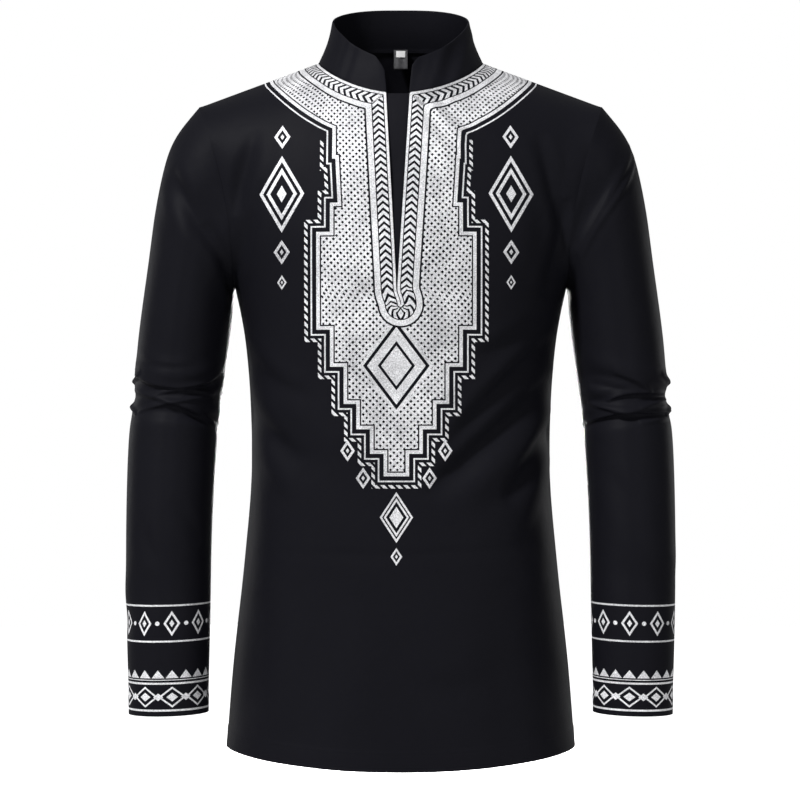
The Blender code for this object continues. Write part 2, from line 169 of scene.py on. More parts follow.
Body = namedtuple("Body", "height half_width front back")
BODY = in_metres(
    Body, MM,
    (-740, 187, 130, 127),
    (-640, 179, 127, 123),
    (-535, 167.5, 122, 114),
    (-432, 159.5, 118, 105),
    (-381, 160, 118, 104),
    (-317, 164, 121, 109),
    (-278, 169, 124, 114),
    (-240, 177, 126, 119),
    (-178, 177, 123.5, 124),
    (-128, 177, 114, 122),
    (-88, 177, 102, 116),
    (-41, 177, 86, 104),
    (2, 177, 78, 90),
    (32, 177, 70, 86),
)

# Where the armhole seam runs, seen from the front and from behind
Armhole = namedtuple("Armhole", "height front back")
ARMHOLE = (
    Armhole(UNDERARM_HEIGHT, UNDERARM_HALF, UNDERARM_HALF),
    Armhole(-0.2130, 0.1762, 0.1785),
    Armhole(-0.1780, 0.1790, 0.1830),
    Armhole(-0.1280, 0.1880, 0.1930),
    Armhole(-0.0880, 0.1990, 0.2030),
    Armhole(SHOULDER_HEIGHT, SHOULDER_HALF, SHOULDER_HALF),
)

# Sleeve sections: outermost and innermost point seen from the front, half depth, how far the middle
# stands forward, and the rings from this section to the next
Sleeve = namedtuple("Sleeve", "outer_x outer_z inner_x inner_z half_depth forward rings")
SLEEVE = (
    Sleeve(SHOULDER_HALF, SHOULDER_HEIGHT, UNDERARM_HALF, UNDERARM_HEIGHT, 0.0720, 0.000, 3),
    Sleeve(0.2440, -0.0850, 0.1785, -0.2480, 0.0730, 0.000, 3),
    Sleeve(0.2595, -0.1430, 0.1790, -0.2620, 0.0710, 0.000, 3),
    Sleeve(0.2695, -0.2140, 0.1815, -0.2850, 0.0680, 0.001, 3),
    Sleeve(0.2800, -0.2940, 0.1855, -0.3160, 0.0630, 0.004, 7),
    Sleeve(0.2845, -0.3560, 0.1915, -0.3600, 0.0570, 0.008, 7),
    Sleeve(0.2895, -0.4060, 0.1955, -0.4050, 0.0540, 0.014, 4),
    Sleeve(0.2905, -0.4960, 0.1995, -0.4940, 0.0500, 0.028, 4),
    Sleeve(0.2885, -0.5940, 0.2005, -0.5920, 0.0440, 0.041, 3),
    Sleeve(0.2850, -0.6885, 0.2020, -0.6865, 0.0375, 0.049, 0),
)
# Over how many rings the armhole's own shape fades
ARMHOLE_FADE_RINGS = 8

# The solids' folds: a soft trough with a low ridge beside it, between two points of the surface. On the
# body the points are seen from the front or back; on a sleeve across is the turn from the inner side, in
# degrees, with 90 at the front.
Fold = namedtuple("Fold", "across_0 height_0 across_1 height_1 bow depth width")
FRONT_FOLDS = in_metres(
    Fold, MM,
    (-150, -95, -166, -215, -10, 4.5, 15),
    (158, -90, 166, -215, 10, 4.5, 15),
    (170, -300, 30, -455, 12, 6, 20),
    (175, -355, 75, -480, 10, 4, 18),
    (-172, -330, -80, -440, -10, 4.5, 20),
    (-85, -520, -110, -760, 6, 3.5, 28),
    (105, -540, 125, -760, -6, 3.5, 28),
)
BACK_FOLDS = in_metres(
    Fold, MM,
    (-155, -100, -150, -235, 8, 4.5, 16),
    (155, -95, 148, -240, -8, 4.5, 16),
    (-150, -345, 20, -425, -14, 5, 20),
    (155, -320, -10, -395, -12, 4.5, 20),
    (-60, -500, -85, -760, 6, 4, 30),
    (70, -480, 95, -760, -6, 4, 30),
)
LEFT_SLEEVE_FOLDS = in_metres(
    Fold, DEGREE,
    (5, -252, 150, -105, 10, 5, 12),
    (20, -330, 185, -352, -4, 4.2, 9),
    (-10, -368, 215, -357, 4, 5.5, 8),
    (-15, -391, 190, -374, 6, 5.2, 8),
    (190, -340, 350, -356, -6, 4.5, 10),
    (200, -383, 340, -378, 8, 4.5, 9),
    (60, -520, 170, -560, -8, 2.5, 18),
)
RIGHT_SLEEVE_FOLDS = in_metres(
    Fold, DEGREE,
    (5, -250, 150, -120, 8, 5, 12),
    (0, -333, 190, -331, -16, 5, 8),
    (-15, -357, 205, -353, -4, 4.5, 8),
    (-15, -391, 180, -374, 10, 5.2, 8),
    (195, -345, 350, -350, -6, 4.5, 10),
    (195, -381, 335, -385, 6, 4.5, 9),
    (100, -545, 185, -600, -10, 2.5, 18),
)
RIDGE_SHARE = 0.45
RIDGE_ASIDE = 1.7
# Over how much cloth folds and creases fade out at a seam, and at a sleeve's ends
FOLD_EDGE = 0.020
CREASE_EDGE = 0.010
SLEEVE_FOLD_EDGE = 0.030
SLEEVE_CREASE_EDGE = 0.012

# Creases, for looks alone, on a curve through three points of the surface: a valley with a soft swell on
# each side, or for a depth below zero a crest. Across is as for the folds.
Crease = namedtuple("Crease", "across_0 height_0 across_1 height_1 across_2 height_2 depth width")
SWELL_SHARE = 0.30
CREST_SWELL_SHARE = 0.10
SWELL_ASIDE = 2.6
SWELL_WIDTH = 1.5
STEEPER_BELOW = 0.35
CREASE_STEPS = 64
CREASE_REACH = 7
CREASE_FADE = 0.6
FRONT_CREASES = in_metres(
    Crease, MM,
    (-150, -78, -163, -120, -174, -168, 3.4, 5.5),
    (-138, -135, -156, -180, -170, -228, 3, 6),
    (-122, -80, -128, -120, -146, -160, 1.2, 7),
    (142, -84, 156, -134, 166, -180, 4.6, 5.2),
    (172, -150, 166, -200, 148, -254, 5.8, 5.6),
    (132, -120, 148, -175, 150, -232, 1.8, 7.5),
    (168, -292, 105, -348, 48, -412, 6.6, 8),
    (165, -330, 96, -396, 24, -458, 7, 7.5),
    (170, -374, 140, -418, 108, -468, 5.4, 6.2),
    (160, -268, 116, -300, 72, -318, 3, 8.5),
    (168, -425, 152, -470, 124, -520, 2, 8),
    (-170, -300, -136, -338, -92, -356, 3, 8),
    (-166, -352, -140, -392, -96, -424, 3.6, 7.6),
    (-164, -396, -150, -430, -118, -470, 1.8, 8),
    (-150, -515, 0, -517, 150, -509, 0.5, 4),
    (-20, -620, 35, -655, 105, -640, 1.6, 15),
    (-148, -560, -154, -640, -168, -736, 2.2, 12),
    (146, -550, 152, -640, 170, -736, 2.2, 12),
    (20, -40, 34, -70, 60, -98, 3, 4.2),
    (34, -36, 52, -60, 82, -78, 2.4, 4.5),
    (-34, -48, -56, -66, -90, -70, 1, 6),
    (6, -205, 30, -235, 62, -252, 1.2, 8),
    (-12, -215, -36, -250, -70, -272, 1.4, 8),
)
BACK_CREASES = in_metres(
    Crease, MM,
    (-166, -110, -150, -165, -120, -225, 3.6, 7),
    (-174, -178, -162, -220, -138, -268, 4, 6),
    (166, -104, 152, -160, 118, -214, 3.6, 7),
    (174, -172, 160, -222, 140, -274, 4, 6),
    (-160, -298, -96, -350, -30, -372, 3.6, 8.5),
    (-158, -356, -112, -396, -60, -430, 3, 8),
    (162, -318, 100, -376, 36, -398, 3.4, 8.5),
    (160, -372, 112, -420, 58, -462, 3.2, 8),
    (164, -424, 142, -470, 110, -510, 2.2, 8),
    (-50, -16, -78, -48, -86, -96, 1.4, 7.5),
    (48, -14, 74, -44, 90, -86, 1.4, 7.5),
    (-120, -540, -134, -640, -152, -736, 2.4, 14),
    (114, -560, 130, -650, 150, -736, 2.4, 14),
    (-18, -570, -10, -650, -6, -736, 1.8, 15),
)
RIGHT_CREASES = in_metres(
    Crease, DEGREE,
    (138, -115.5, 97, -168, 39, -225, 4.2, 4.6),
    (122, -109.5, 91, -148.5, 64, -186, 1.6, 6),
    (84, -175, 52, -208, 12, -256, 2.6, 4),
    (172, -327, 89, -345.5, 21, -330.5, -3.2, 1.8),
    (75, -349.5, 53, -347.5, 23, -345, 3.6, 2.6),
    (122, -357, 78, -349.5, 25, -355, -2.6, 1.6),
    (172, -350, 80, -365, 7, -389, -3.4, 1.8),
    (150, -374, 91, -362.5, 36, -358, -2.7, 1.7),
    (155, -309.5, 102, -321, 66, -318, -1.3, 2.9),
    (72, -371, 55, -376.5, 36, -384.5, 1.8, 2.2),
    (130, -487.5, 111, -511.5, 102, -537.5, 1.5, 6),
    (83, -463, 58, -484.5, 33, -508, 1.4, 6),
    (111, -536, 89, -566.5, 75, -608.5, 1.4, 8),
    (140, -330, 190, -342, 246, -338, -3.5, 2),
    (150, -376, 196, -366, 262, -370, -3.8, 1.8),
    (186, -327, 252, -347, 322, -336, -4.4, 2.4),
    (200, -356, 268, -362, 352, -352, -3.8, 2),
    (206, -390, 276, -380, 346, -392, -4.1, 2.2),
    (236, -340, 296, -364, 350, -386, -3.1, 1.8),
    (228, -112, 268, -180, 332, -252, 4, 5),
    (214, -150, 236, -220, 262, -292, 2.2, 8),
    (240, -520, 280, -560, 320, -580, 1.6, 8),
)
LEFT_CREASES = in_metres(
    Crease, DEGREE,
    (160, -86, 105, -145.5, 50, -211, -2.7, 2.2),
    (162, -99, 102, -158.5, 50, -218, -2.5, 2.1),
    (114, -98.5, 86, -152.5, 53, -203.5, 1.8, 6),
    (72, -330, 105, -340.5, 125, -353, -3.3, 2.9),
    (61, -363, 94, -352.5, 172, -354, -4.1, 1.7),
    (23, -362, 83, -371, 174, -372, -3.7, 1.6),
    (9, -387, 72, -373, 159, -363.5, -3.8, 1.7),
    (102, -368.5, 127, -364, 180, -358.5, -2.4, 1.5),
    (36, -343, 69, -346.5, 105, -355.5, 2.6, 3.4),
    (100, -384.5, 122, -382.5, 174, -376, -2, 2),
    (55, -432.5, 78, -463, 94, -505, 1.3, 7),
    (64, -527, 94, -566.5, 111, -607, 1.4, 8),
    (142, -332, 188, -343, 250, -337, -3.5, 2),
    (152, -378, 198, -367, 258, -372, -3.8, 1.8),
    (190, -325, 250, -345, 318, -337, -4.4, 2.4),
    (204, -358, 266, -361, 350, -354, -3.8, 2),
    (210, -392, 280, -381, 344, -390, -4.1, 2.2),
    (238, -342, 298, -365, 348, -388, -3.1, 1.8),
    (226, -108, 266, -176, 330, -250, 4, 5),
    (216, -146, 238, -216, 264, -288, 2.2, 8),
    (238, -530, 280, -566, 322, -584, 1.6, 8),
)

# The collar's folds in front lean to one side as they rise; a depth below zero stands out
CollarFold = namedtuple("CollarFold", "x rise width depth")
COLLAR_FOLDS = in_metres(
    CollarFold, MM,
    (-66, 12, 7, 1.3),
    (-54, 22, 5, -0.9),
    (-47, 14, 4.5, 1),
    (-30, 20, 6, 0.7),
    (30, 20, 6, 0.8),
    (46, 12, 5, -1),
    (58, 12, 6.5, 1.4),
    (72, 22, 5, -1),
)
COLLAR_FOLD_LEAN = 0.3

# Cloth: its two tones, its relief, and how far from the edge its stitches run
CLOTH_TONES = ((0.0050, 0.0050, 0.0070), (0.0077, 0.0077, 0.0105))
BROAD_SHARE = 0.65
FINE_SHARE = 0.35
CLOTH_SPECULAR = 0.035
CLOTH_ROUGHNESS = 0.48
ROUGHNESS_SWAY = 0.10
WEAVE_PITCH = 0.00075
WEAVE_DEPTH = 0.00004
FUZZ_DEPTH = 0.00006
WRINKLE_DEPTH = 0.0008
HEM_STITCH = 0.0185
COLLAR_STITCH = 0.0022
STITCH_PITCH = 0.0030
STITCH_SHARE = 0.72
STITCH_HALF = 0.00035
STITCH_DEPTH = 0.00025

# Noises: scale, detail and roughness
TONE_NOISE = (9.0, 4.0, 0.6)
FUZZ_NOISE = (900.0, 2.0, 0.6)
WRINKLE_NOISE = (26.0, 5.0, 0.55)
GRAIN_NOISE = (850.0, 3.0, 0.7)
# The next two noises paint shade and highlights on the foil
PAINTED_SHADE_CLOUD_NOISE = (38.0, 4.0, 0.6)
PAINTED_LIGHT_AND_SHADE_NOISE = (17.0, 3.0, 0.5)
LOZENGE_NOISE = (150.0, 2.0, 0.5)
LABEL_NOISE = (420.0, 3.0, 0.6)
TAB_NOISE = (300.0, 3.0, 0.6)
FLOOR_NOISE = (60.0, 3.0, 0.5)

# Silver foil: its two tones, how much each noise sways them (the grain as the foil's own wear, the clouds and
# the broad noise as painted shade and painted highlights), and its relief
FOIL_TONES = ((0.20, 0.20, 0.215), (0.98, 0.98, 1.0))
FOIL_GRAIN = 2.0
FOIL_PAINTED_SHADE = 0.45
FOIL_PAINTED_LIGHT_AND_SHADE = 0.798
FOIL_START = 0.29
FOIL_METALLIC = 0.20
FOIL_GRAIN_DEPTH = 0.00012

# Ribbed tapes of the label and the tab
RIB_PITCH = 0.0011
RIB_DEPTH = 0.00005
TAPE_FUZZ = 0.00008
TAPE_ROUGHNESS = 0.48
LABEL_TONES = ((0.008, 0.008, 0.009), (0.11, 0.11, 0.12))
TAB_TONES = ((0.62, 0.62, 0.62), (0.92, 0.92, 0.92))

# The chest's printed panel, an own design: boxes about its middle line, which together make a stepped edge
Step = namedtuple("Step", "half_width top bottom")
CHEST_STEPS = in_metres(
    Step, MM,
    (54, 100, -364),
    (66, 100, -112),
    (68, -158, -326),
    (82, -188, -288),
    (41, 100, -390),
    (27, 100, -415),
    (13, 100, -438),
)
PRINT_MIDDLE = -0.0045
YOKE_REACH = 0.0560
# Bands by their depth inside the panel's edge: its ground, its outline, a line and dashes outside it
GROUND_START = 0.0050
OUTLINE_BAND = (0.0, 0.0036)
LINE_BAND = (-0.0060, -0.0044)
DASH_BAND = (-0.0125, -0.0090)
DASH_PITCH = 0.0078
DASH_SHARE = 0.55
DASH_TOP = -0.092
# Lozenges on the ground, uneven as a worn print is
GROUND_PITCH = 0.0070
LOZENGE_SHARE = 0.235
LOZENGE_UNEVEN = 0.22
# Border round the slit and the neckline, by the distance from them: a line, chevrons, a line
BORDER_REACH = 0.0240
BORDER_LINES = ((0.0004, 0.0030), (0.0163, 0.0222))
CHEVRON_BAND = (0.0040, 0.0152)
CHEVRON_TIP = 0.0096
CHEVRON_SLANT = 0.9
CHEVRON_PITCH = 0.0072
CHEVRON_SHARE = 0.56
# Length of border for each radian round the slit's end
BORDER_TURN = 0.014

# Nested diamonds: place, half width and half height, and the bands of foil from the middle (0) outwards
Diamond = namedtuple("Diamond", "aside height half_width half_height bands")
NESTED = ((0.86, 1.0), (0.62, 0.76), (0.0, 0.42))
OPEN = ((0.84, 1.0), (0.52, 0.68), (0.0, 0.22))
SOLID = ((0.60, 1.0), (0.0, 0.24))
CHEST_DIAMONDS = (
    Diamond(0.1180, -0.1480, 0.0235, 0.0400, OPEN),
    Diamond(0.1180, -0.0880, 0.0085, 0.0125, SOLID),
    Diamond(0.1180, -0.2080, 0.0085, 0.0125, SOLID),
    Diamond(0.1180, -0.2390, 0.0050, 0.0075, SOLID),
    Diamond(0.0500, -0.4120, 0.0075, 0.0110, SOLID),
    Diamond(0.0340, -0.4400, 0.0075, 0.0110, SOLID),
    Diamond(0.0000, -0.4800, 0.0170, 0.0260, NESTED),
    Diamond(0.0000, -0.5200, 0.0060, 0.0090, SOLID),
)
MEDALLION = Diamond(0.0, -0.3250, 0.0340, 0.0450, ((0.88, 1.0), (0.46, 0.56)))
MEDALLION_CLEAR = 1.12

# Cuff print, by the distance from the cuff: lines, a chain of diamonds, teeth, and a band further up
CUFF_REPEATS = 9
CUFF_LINES = ((0.0052, 0.0072), (0.0330, 0.0350), (0.0372, 0.0380))
CHAIN_MIDDLE = 0.0200
CHAIN_HALF = 0.0108
CHAIN_BANDS = ((0.80, 1.0), (0.0, 0.42))
LINK_REACH = 0.36
TEETH_FOOT = 0.0395
TEETH_HEIGHT = 0.0090
TEETH_REACH = 0.92
UPPER_MIDDLE = 0.0960
UPPER_HALF_WIDTH = 0.0080
UPPER_HALF_HEIGHT = 0.0130
UPPER_BANDS = ((0.70, 1.0), (0.0, 0.30))
DOT_RADIUS = 0.0022
RAIL_AWAY = 0.0185
RAIL_HALF = 0.0009

# Studio: a pale floor, a white background, soft lights aimed at the shirt's middle, and the camera
FLOOR_HEIGHT = -1.15
FLOOR_RADIUS = 6.0
FLOOR_SIDES = 48
FLOOR_TONES = ((0.60, 0.60, 0.60), (0.64, 0.64, 0.64))
BACKGROUND = 1.0
AMBIENT = 0.26
WHITE = (1.0, 1.0, 1.0, 1.0)
LIGHT_AIM = (0.0, 0.0, -0.35)
Light = namedtuple("Light", "name place size power")
LIGHTS = (
    Light("key", (-1.95, -2.35, 2.75), (0.55, 0.55), 232.0),
    Light("fill", (1.8, -2.4, 0.2), (0.8, 1.2), 15.0),
    Light("side_left", (2.2, 2.4, -0.2), (0.8, 0.8), 8.0),
    Light("side_right", (-2.2, 2.4, -0.2), (0.8, 0.8), 8.0),
    Light("rear", (0.0, 3.2, -0.2), (0.8, 0.8), 110.0),
)
CAMERA_PLACE = (-0.0008, -2.6, -0.360)
# Half the width that the camera sees at the shirt's middle
VIEW_HALF = 0.428


def hermite(t, start, end, start_slope, end_slope):
    """A cubic curve from start to end, with slopes for t from 0 to 1."""
    return (
        (2 * t**3 - 3 * t**2 + 1) * start
        + (t**3 - 2 * t**2 + t) * start_slope
        + (3 * t**2 - 2 * t**3) * end
        + (t**3 - t**2) * end_slope
    )


def curve(values, at):
    """The curve through the values, at a place that counts them from 0."""
    slopes = np.gradient(values, axis=0)
    i = min(int(at), len(values) - 2)
    return hermite(at - i, values[i], values[i + 1], slopes[i], slopes[i + 1])


def smooth(table, column, at):
    """A table's column at one height, on a curve through the rows; the first field orders them."""
    keys = [row[0] for row in table]
    values = [getattr(row, column) for row in table]
    at = min(max(at, keys[0]), keys[-1])
    i = min(max(int(np.searchsorted(keys, at)) - 1, 0), len(keys) - 2)
    step = keys[i + 1] - keys[i]
    slopes = step * np.gradient(values, keys)
    return hermite((at - keys[i]) / step, values[i], values[i + 1], slopes[i], slopes[i + 1])


def rounded(share, fullness):
    """Height of a unit superellipse at a share of its half width."""
    return max(1.0 - min(abs(share), 1.0) ** fullness, 0.0) ** (1.0 / fullness)


def shoulder_height(x):
    """Height of the shoulder's ridge, on the straight line through the seam."""
    return SHOULDER_SLOPE * (NECK_HALF - abs(x))


def armhole_reach(z):
    """How far the armhole stands forward or back of the side seam's line, before the shoulder rounds."""
    below = (UNDERARM_HEIGHT + ARMHOLE_BOTTOM - z) / ARMHOLE_BOTTOM
    return ARMHOLE_REACH * math.sqrt(1.0 - min(max(below, 0.0), 1.0) ** 2)


def section_half(z, side):
    """Half width of the oval that the panel follows at this height."""
    if z <= UNDERARM_HEIGHT:
        return smooth(BODY, "half_width", z)
    depth = smooth(BODY, side, z)
    return smooth(ARMHOLE, side, z) / rounded(armhole_reach(z) / depth, FULLNESS)


def panel_depth(x, z, side):
    """How far the front stands forward, or the back stands back, seen at x and z."""
    depth = smooth(BODY, side, z) * rounded(x / section_half(z, side), FULLNESS)
    below = (z - ridge_height(x, side) + RIDGE_HEIGHT) / RIDGE_HEIGHT
    return depth * rounded(max(below, 0.0), RIDGE_FULLNESS)


def neck_height(x, side):
    neck = NECK[side]
    share = min(abs(x) / NECK_HALF, 1.0)
    return neck.height * (1.0 - share**neck.across) ** neck.down


def ridge_height(x, side):
    """Where the cloth would reach the ridge; within the neck that is somewhat above the neckline."""
    if abs(x) >= NECK_HALF:
        return shoulder_height(x)
    share = abs(x) / NECK_HALF
    return neck_height(x, side) + NECK[side].below_ridge * (1.0 - share**2) ** RIDGE_POWER


def panel_point(x, z, side):
    """A point of the outer surface, before its folds."""
    depth = panel_depth(x, z, side) + SEAM_GAP / 2
    if side == "front" and z > SLIT_END:
        x += SLIT_SHIFT * max(1.0 - abs(x) / NECK_HALF, 0.0) ** 2
    return np.array([x, -depth if side == "front" else depth, z])


def evened(grid, passes, closed=False):
    """The grid with its inner points drawn towards their neighbours; an open one is mirrored at column 0."""
    grid = np.array(grid)
    inner = grid[1:-1] if closed else grid[1:-1, :-1]
    for _ in range(passes):
        before, after = np.roll(grid, 1, 1), np.roll(grid, -1, 1)
        if not closed:
            before[:, 0] = grid[:, 1]
        around = (grid[2:] + grid[:-2] + before[1:-1] + after[1:-1])[:, : inner.shape[1]]
        step = EVEN_SHARE * (around / 4 - inner)
        if not closed:
            # points of the middle line stay on it
            step[:, 0, 0] = 0.0
        inner += step
    return grid


def top_boundary(side):
    """The neckline and the shoulder seam from the centre outwards, as x and z seen from the front."""
    start = math.asin(SLIT_HALF / NECK_HALF) if side == "front" else 0.0
    points = []
    for i in range(NECK_COLUMNS + 1):
        x = NECK_HALF * math.sin(start + (math.pi / 2 - start) * i / NECK_COLUMNS)
        points.append((x, neck_height(x, side)))
    for i in range(1, SHOULDER_COLUMNS + 1):
        x = NECK_HALF + (SHOULDER_HALF - NECK_HALF) * i / SHOULDER_COLUMNS
        points.append((x, shoulder_height(x)))
    return np.array(points)


def panel_rows(side):
    """Half a panel as rows of x and z seen from the front: from the hem to the line between the slit's end
    and the underarm, and from there, between four edges, to the neckline and the shoulder."""
    top = top_boundary(side)
    count = len(top) - 1
    turn = math.pi / 2 * np.arange(count + 1) / count
    out, inward = np.sin(turn), np.cos(turn) ** 2
    chest = UNDERARM_HEIGHT + (SLIT_END - UNDERARM_HEIGHT) * inward
    hem = HEM_HEIGHT - HEM_DROP * inward
    rows = []
    for j in range(HEM_ROWS):
        heights = hem + j / HEM_ROWS * (chest - hem)
        halves = np.array([section_half(z, side) for z in heights])
        rows.append(np.stack([halves * out, heights], axis=-1))
    low = np.stack([UNDERARM_HALF * out, chest], axis=-1)
    shares = np.arange(count + 1)[:, None] / count
    for j in range(ARMHOLE_ROWS + 1):
        t = (1.0 - math.cos(math.pi * j / ARMHOLE_ROWS)) / 2.0
        line = (1 - t) * low + t * top
        edge_z = UNDERARM_HEIGHT + t * (top[-1][1] - UNDERARM_HEIGHT)
        rows.append(line + shares * ((smooth(ARMHOLE, side, edge_z), edge_z) - line[-1]))
    return rows


def panel_grid(side, hand):
    """The solid's points on half a panel, from the hem up; hand is 1 for the left and -1 for the right."""
    points = [[panel_point(hand * x, z, side) for x, z in row] for row in panel_rows(side)]
    return evened(points, RELAX_PASSES)


def armhole_edge(side, hand):
    """A panel's edge from the underarm to the shoulder, with one more point just short of that."""
    edge = list(panel_grid(side, hand)[HEM_ROWS:, -1])
    way = (edge[-2] - edge[-1]) * (1.0, 1.0, 0.0)
    edge.insert(-1, edge[-1] + SEAM_BAND * way / np.linalg.norm(way))
    return edge


def armhole_loop(hand):
    """The armhole seam from the underarm up the front, over the shoulder and down the back."""
    front, back = (armhole_edge(side, hand) for side in ("front", "back"))
    # the front's and the back's end points meet at the seams, so one point stands for both there
    underarm = (front[0] + back[0]) / 2
    shoulder = (front[-1] + back[-1]) / 2
    return np.array([underarm, *front[1:-1], shoulder, *back[-2:0:-1]])


def sleeve_sections():
    """The sleeve's sections, one for each ring."""
    values = np.array([row[:-1] for row in SLEEVE])
    places_at = [i + k / row.rings for i, row in enumerate(SLEEVE) for k in range(row.rings)]
    return [Sleeve(*curve(values, at), 0) for at in (*places_at, len(SLEEVE) - 1)]


def sleeve_ring(section, hand, count):
    """An oval ring between the section's inner and outer point."""
    turn = 2 * math.pi * np.arange(count) / count
    out = (1.0 - np.cos(turn)) / 2.0
    x = section.inner_x + out * (section.outer_x - section.inner_x)
    z = section.inner_z + out * (section.outer_z - section.inner_z)
    y = -section.forward - section.half_depth * np.sin(turn)
    return np.stack([hand * x, y, z], axis=-1)


def collar_height(distance):
    """Share of the collar's height at a distance from its front end, with the corner rounded."""
    if distance >= COLLAR_CORNER:
        return 1.0
    missing = COLLAR_CORNER - math.sqrt(COLLAR_CORNER**2 - (COLLAR_CORNER - distance) ** 2)
    return 1.0 - missing / COLLAR_RISE_FRONT


def collar_column(base, side):
    """The collar's points above one point of the neckline, leaning in as they rise."""
    x, y, z = base
    forward = min(max(-y / panel_depth(SLIT_HALF, NECK["front"].height, "front"), 0.0), 1.0)
    rise = COLLAR_RISE_SIDE + (COLLAR_RISE_FRONT - COLLAR_RISE_SIDE) * forward
    from_end = abs(x - SLIT_SHIFT) - SLIT_HALF if side == "front" else COLLAR_CORNER
    near_end = math.exp(-((from_end / COLLAR_CORNER) ** 2)) if side == "front" else 0.0
    splay = math.copysign(COLLAR_END_SPLAY, x) * near_end + COLLAR_LEAN * x * near_end
    up = collar_height(max(from_end, 0.0)) * np.arange(COLLAR_ROWS + 1) / COLLAR_ROWS
    lean = 1.0 - COLLAR_LEAN * up - COLLAR_FLARE / NECK_HALF * np.sin(math.pi * up)
    return np.stack([x * lean + splay * up, y * lean, z + SEAM_GAP + rise * up], axis=-1)


# Finer cloth on the solids' forms


def slopes_of(values, at):
    """Slopes along the first axis that never overshoot the points."""
    widths = np.diff(at)
    shape = (-1,) + (1,) * (values.ndim - 1)
    rises = np.diff(values, axis=0) / widths.reshape(shape)
    slopes = np.empty_like(values)
    slopes[0], slopes[-1] = rises[0], rises[-1]
    low, high = rises[:-1], rises[1:]
    a = (2 * widths[1:] + widths[:-1]).reshape(shape)
    b = (widths[1:] + 2 * widths[:-1]).reshape(shape)
    same = low * high > 0
    safe_low = np.where(same, low, 1.0)
    safe_high = np.where(same, high, 1.0)
    slopes[1:-1] = np.where(same, (a + b) / (a / safe_low + b / safe_high), 0.0)
    return slopes


def finer(values, step):
    """More points along the first axis, about a step apart, between those there are."""
    # a point's first three values are x, y and z
    lengths = np.linalg.norm(np.diff(values[..., :3], axis=0), axis=-1).mean(axis=1)
    at = np.concatenate([[0.0], np.cumsum(np.maximum(lengths, 1e-6))])
    slopes = slopes_of(values, at)
    out = []
    for i, width in enumerate(np.diff(at)):
        count = max(1, round(width / step))
        ends = values[i], values[i + 1], width * slopes[i], width * slopes[i + 1]
        out.extend(hermite(k / count, *ends) for k in range(count))
    return np.array([*out, values[-1]])


def across(values):
    return np.swapaxes(values, 0, 1)


def fold_field(across_at, heights, folds):
    """How far the solids' folds push the cloth in (minus) or out."""
    offset = np.zeros_like(heights)
    for fold in folds:
        run_x, run_z = fold.across_1 - fold.across_0, fold.height_1 - fold.height_0
        length = math.hypot(run_x, run_z)
        place_x, place_z = across_at - fold.across_0, heights - fold.height_0
        along = (place_x * run_x + place_z * run_z) / length**2
        inside = (along > 0.0) & (along < 1.0)
        along = np.clip(along, 0.0, 1.0)
        aside = (place_z * run_x - place_x * run_z) / length
        aside = (aside - fold.bow * 4.0 * along * (1.0 - along)) / fold.width
        fade = np.where(inside, np.sin(math.pi * along), 0.0)
        trough = np.exp(-(aside**2))
        ridge = np.exp(-((aside - RIDGE_ASIDE) ** 2))
        offset -= fold.depth * fade * (trough - RIDGE_SHARE * ridge)
    return offset


def crease_field(across_at, heights, creases):
    """How far the creases push the cloth in (minus) or out."""
    offset = np.zeros(heights.size)
    places = np.stack([across_at.ravel(), heights.ravel()], axis=-1)
    t = np.linspace(0.0, 1.0, CREASE_STEPS + 1)[:, None]
    for crease in creases:
        start, middle, end = np.array(crease[:6]).reshape(3, 2)
        bend = 2 * middle - (start + end) / 2
        line = (1 - t) ** 2 * start + 2 * t * (1 - t) * bend + t**2 * end
        ways = np.gradient(line, axis=0)
        ways /= np.linalg.norm(ways, axis=1, keepdims=True)
        reach = CREASE_REACH * crease.width
        near = np.all((places > line.min(0) - reach) & (places < line.max(0) + reach), axis=1)
        away = places[near][:, None] - line[None]
        nearest = np.argmin((away**2).sum(-1), axis=1)
        off, way = away[np.arange(len(away)), nearest], ways[nearest]
        aside = (way[:, 0] * off[:, 1] - way[:, 1] * off[:, 0]) / crease.width
        # as cloth sags, a crest is steeper on its lower side and a valley on its upper side
        slant = STEEPER_BELOW * way[:, 0] * np.sign(aside) * -np.sign(crease.depth)
        aside = np.abs(aside) / (1.0 + slant)
        fade = np.sin(math.pi * nearest / CREASE_STEPS) ** CREASE_FADE
        swell = np.exp(-(((aside - SWELL_ASIDE) / SWELL_WIDTH) ** 2))
        share = SWELL_SHARE if crease.depth > 0 else CREST_SWELL_SHARE
        offset[near] -= crease.depth * fade * (1.0 / np.cosh(aside) - share * swell)
    return offset.reshape(heights.shape)


def normals_of(grid, away, closed=False):
    """Unit normals of a grid, on the side that away points to."""
    down = np.gradient(grid, axis=0)
    along = (np.roll(grid, -1, 1) - np.roll(grid, 1, 1)) / 2 if closed else np.gradient(grid, axis=1)
    normals = np.cross(along, down)
    normals /= np.maximum(np.linalg.norm(normals, axis=-1, keepdims=True), 1e-12)
    return normals * np.sign((normals * away).sum())


def edge_distance(grid, axis=0, from_end=False):
    """Distance along the cloth, down an axis, from its first edge or from its last."""
    steps = np.linalg.norm(np.diff(grid, axis=axis), axis=-1)
    if from_end:
        steps = np.flip(steps, axis)
    total = np.insert(np.cumsum(steps, axis=axis), 0, 0.0, axis=axis)
    return np.flip(total, axis) if from_end else total


def faded(distance, edge):
    """0 at an edge of the cloth and 1 from some distance off it."""
    return np.clip(distance / edge, 0.0, 1.0)


def seam_roll(distance):
    """How far cloth dips by a seam."""
    return ROLL_DEPTH * (1.0 - faded(distance, ROLL_WIDTH)) ** 2


def hem_stand(distance):
    """How far a turned edge stands proud of the cloth."""
    return HEM_PROUD * faded(HEM_FOLD - distance, HEM_RAMP)


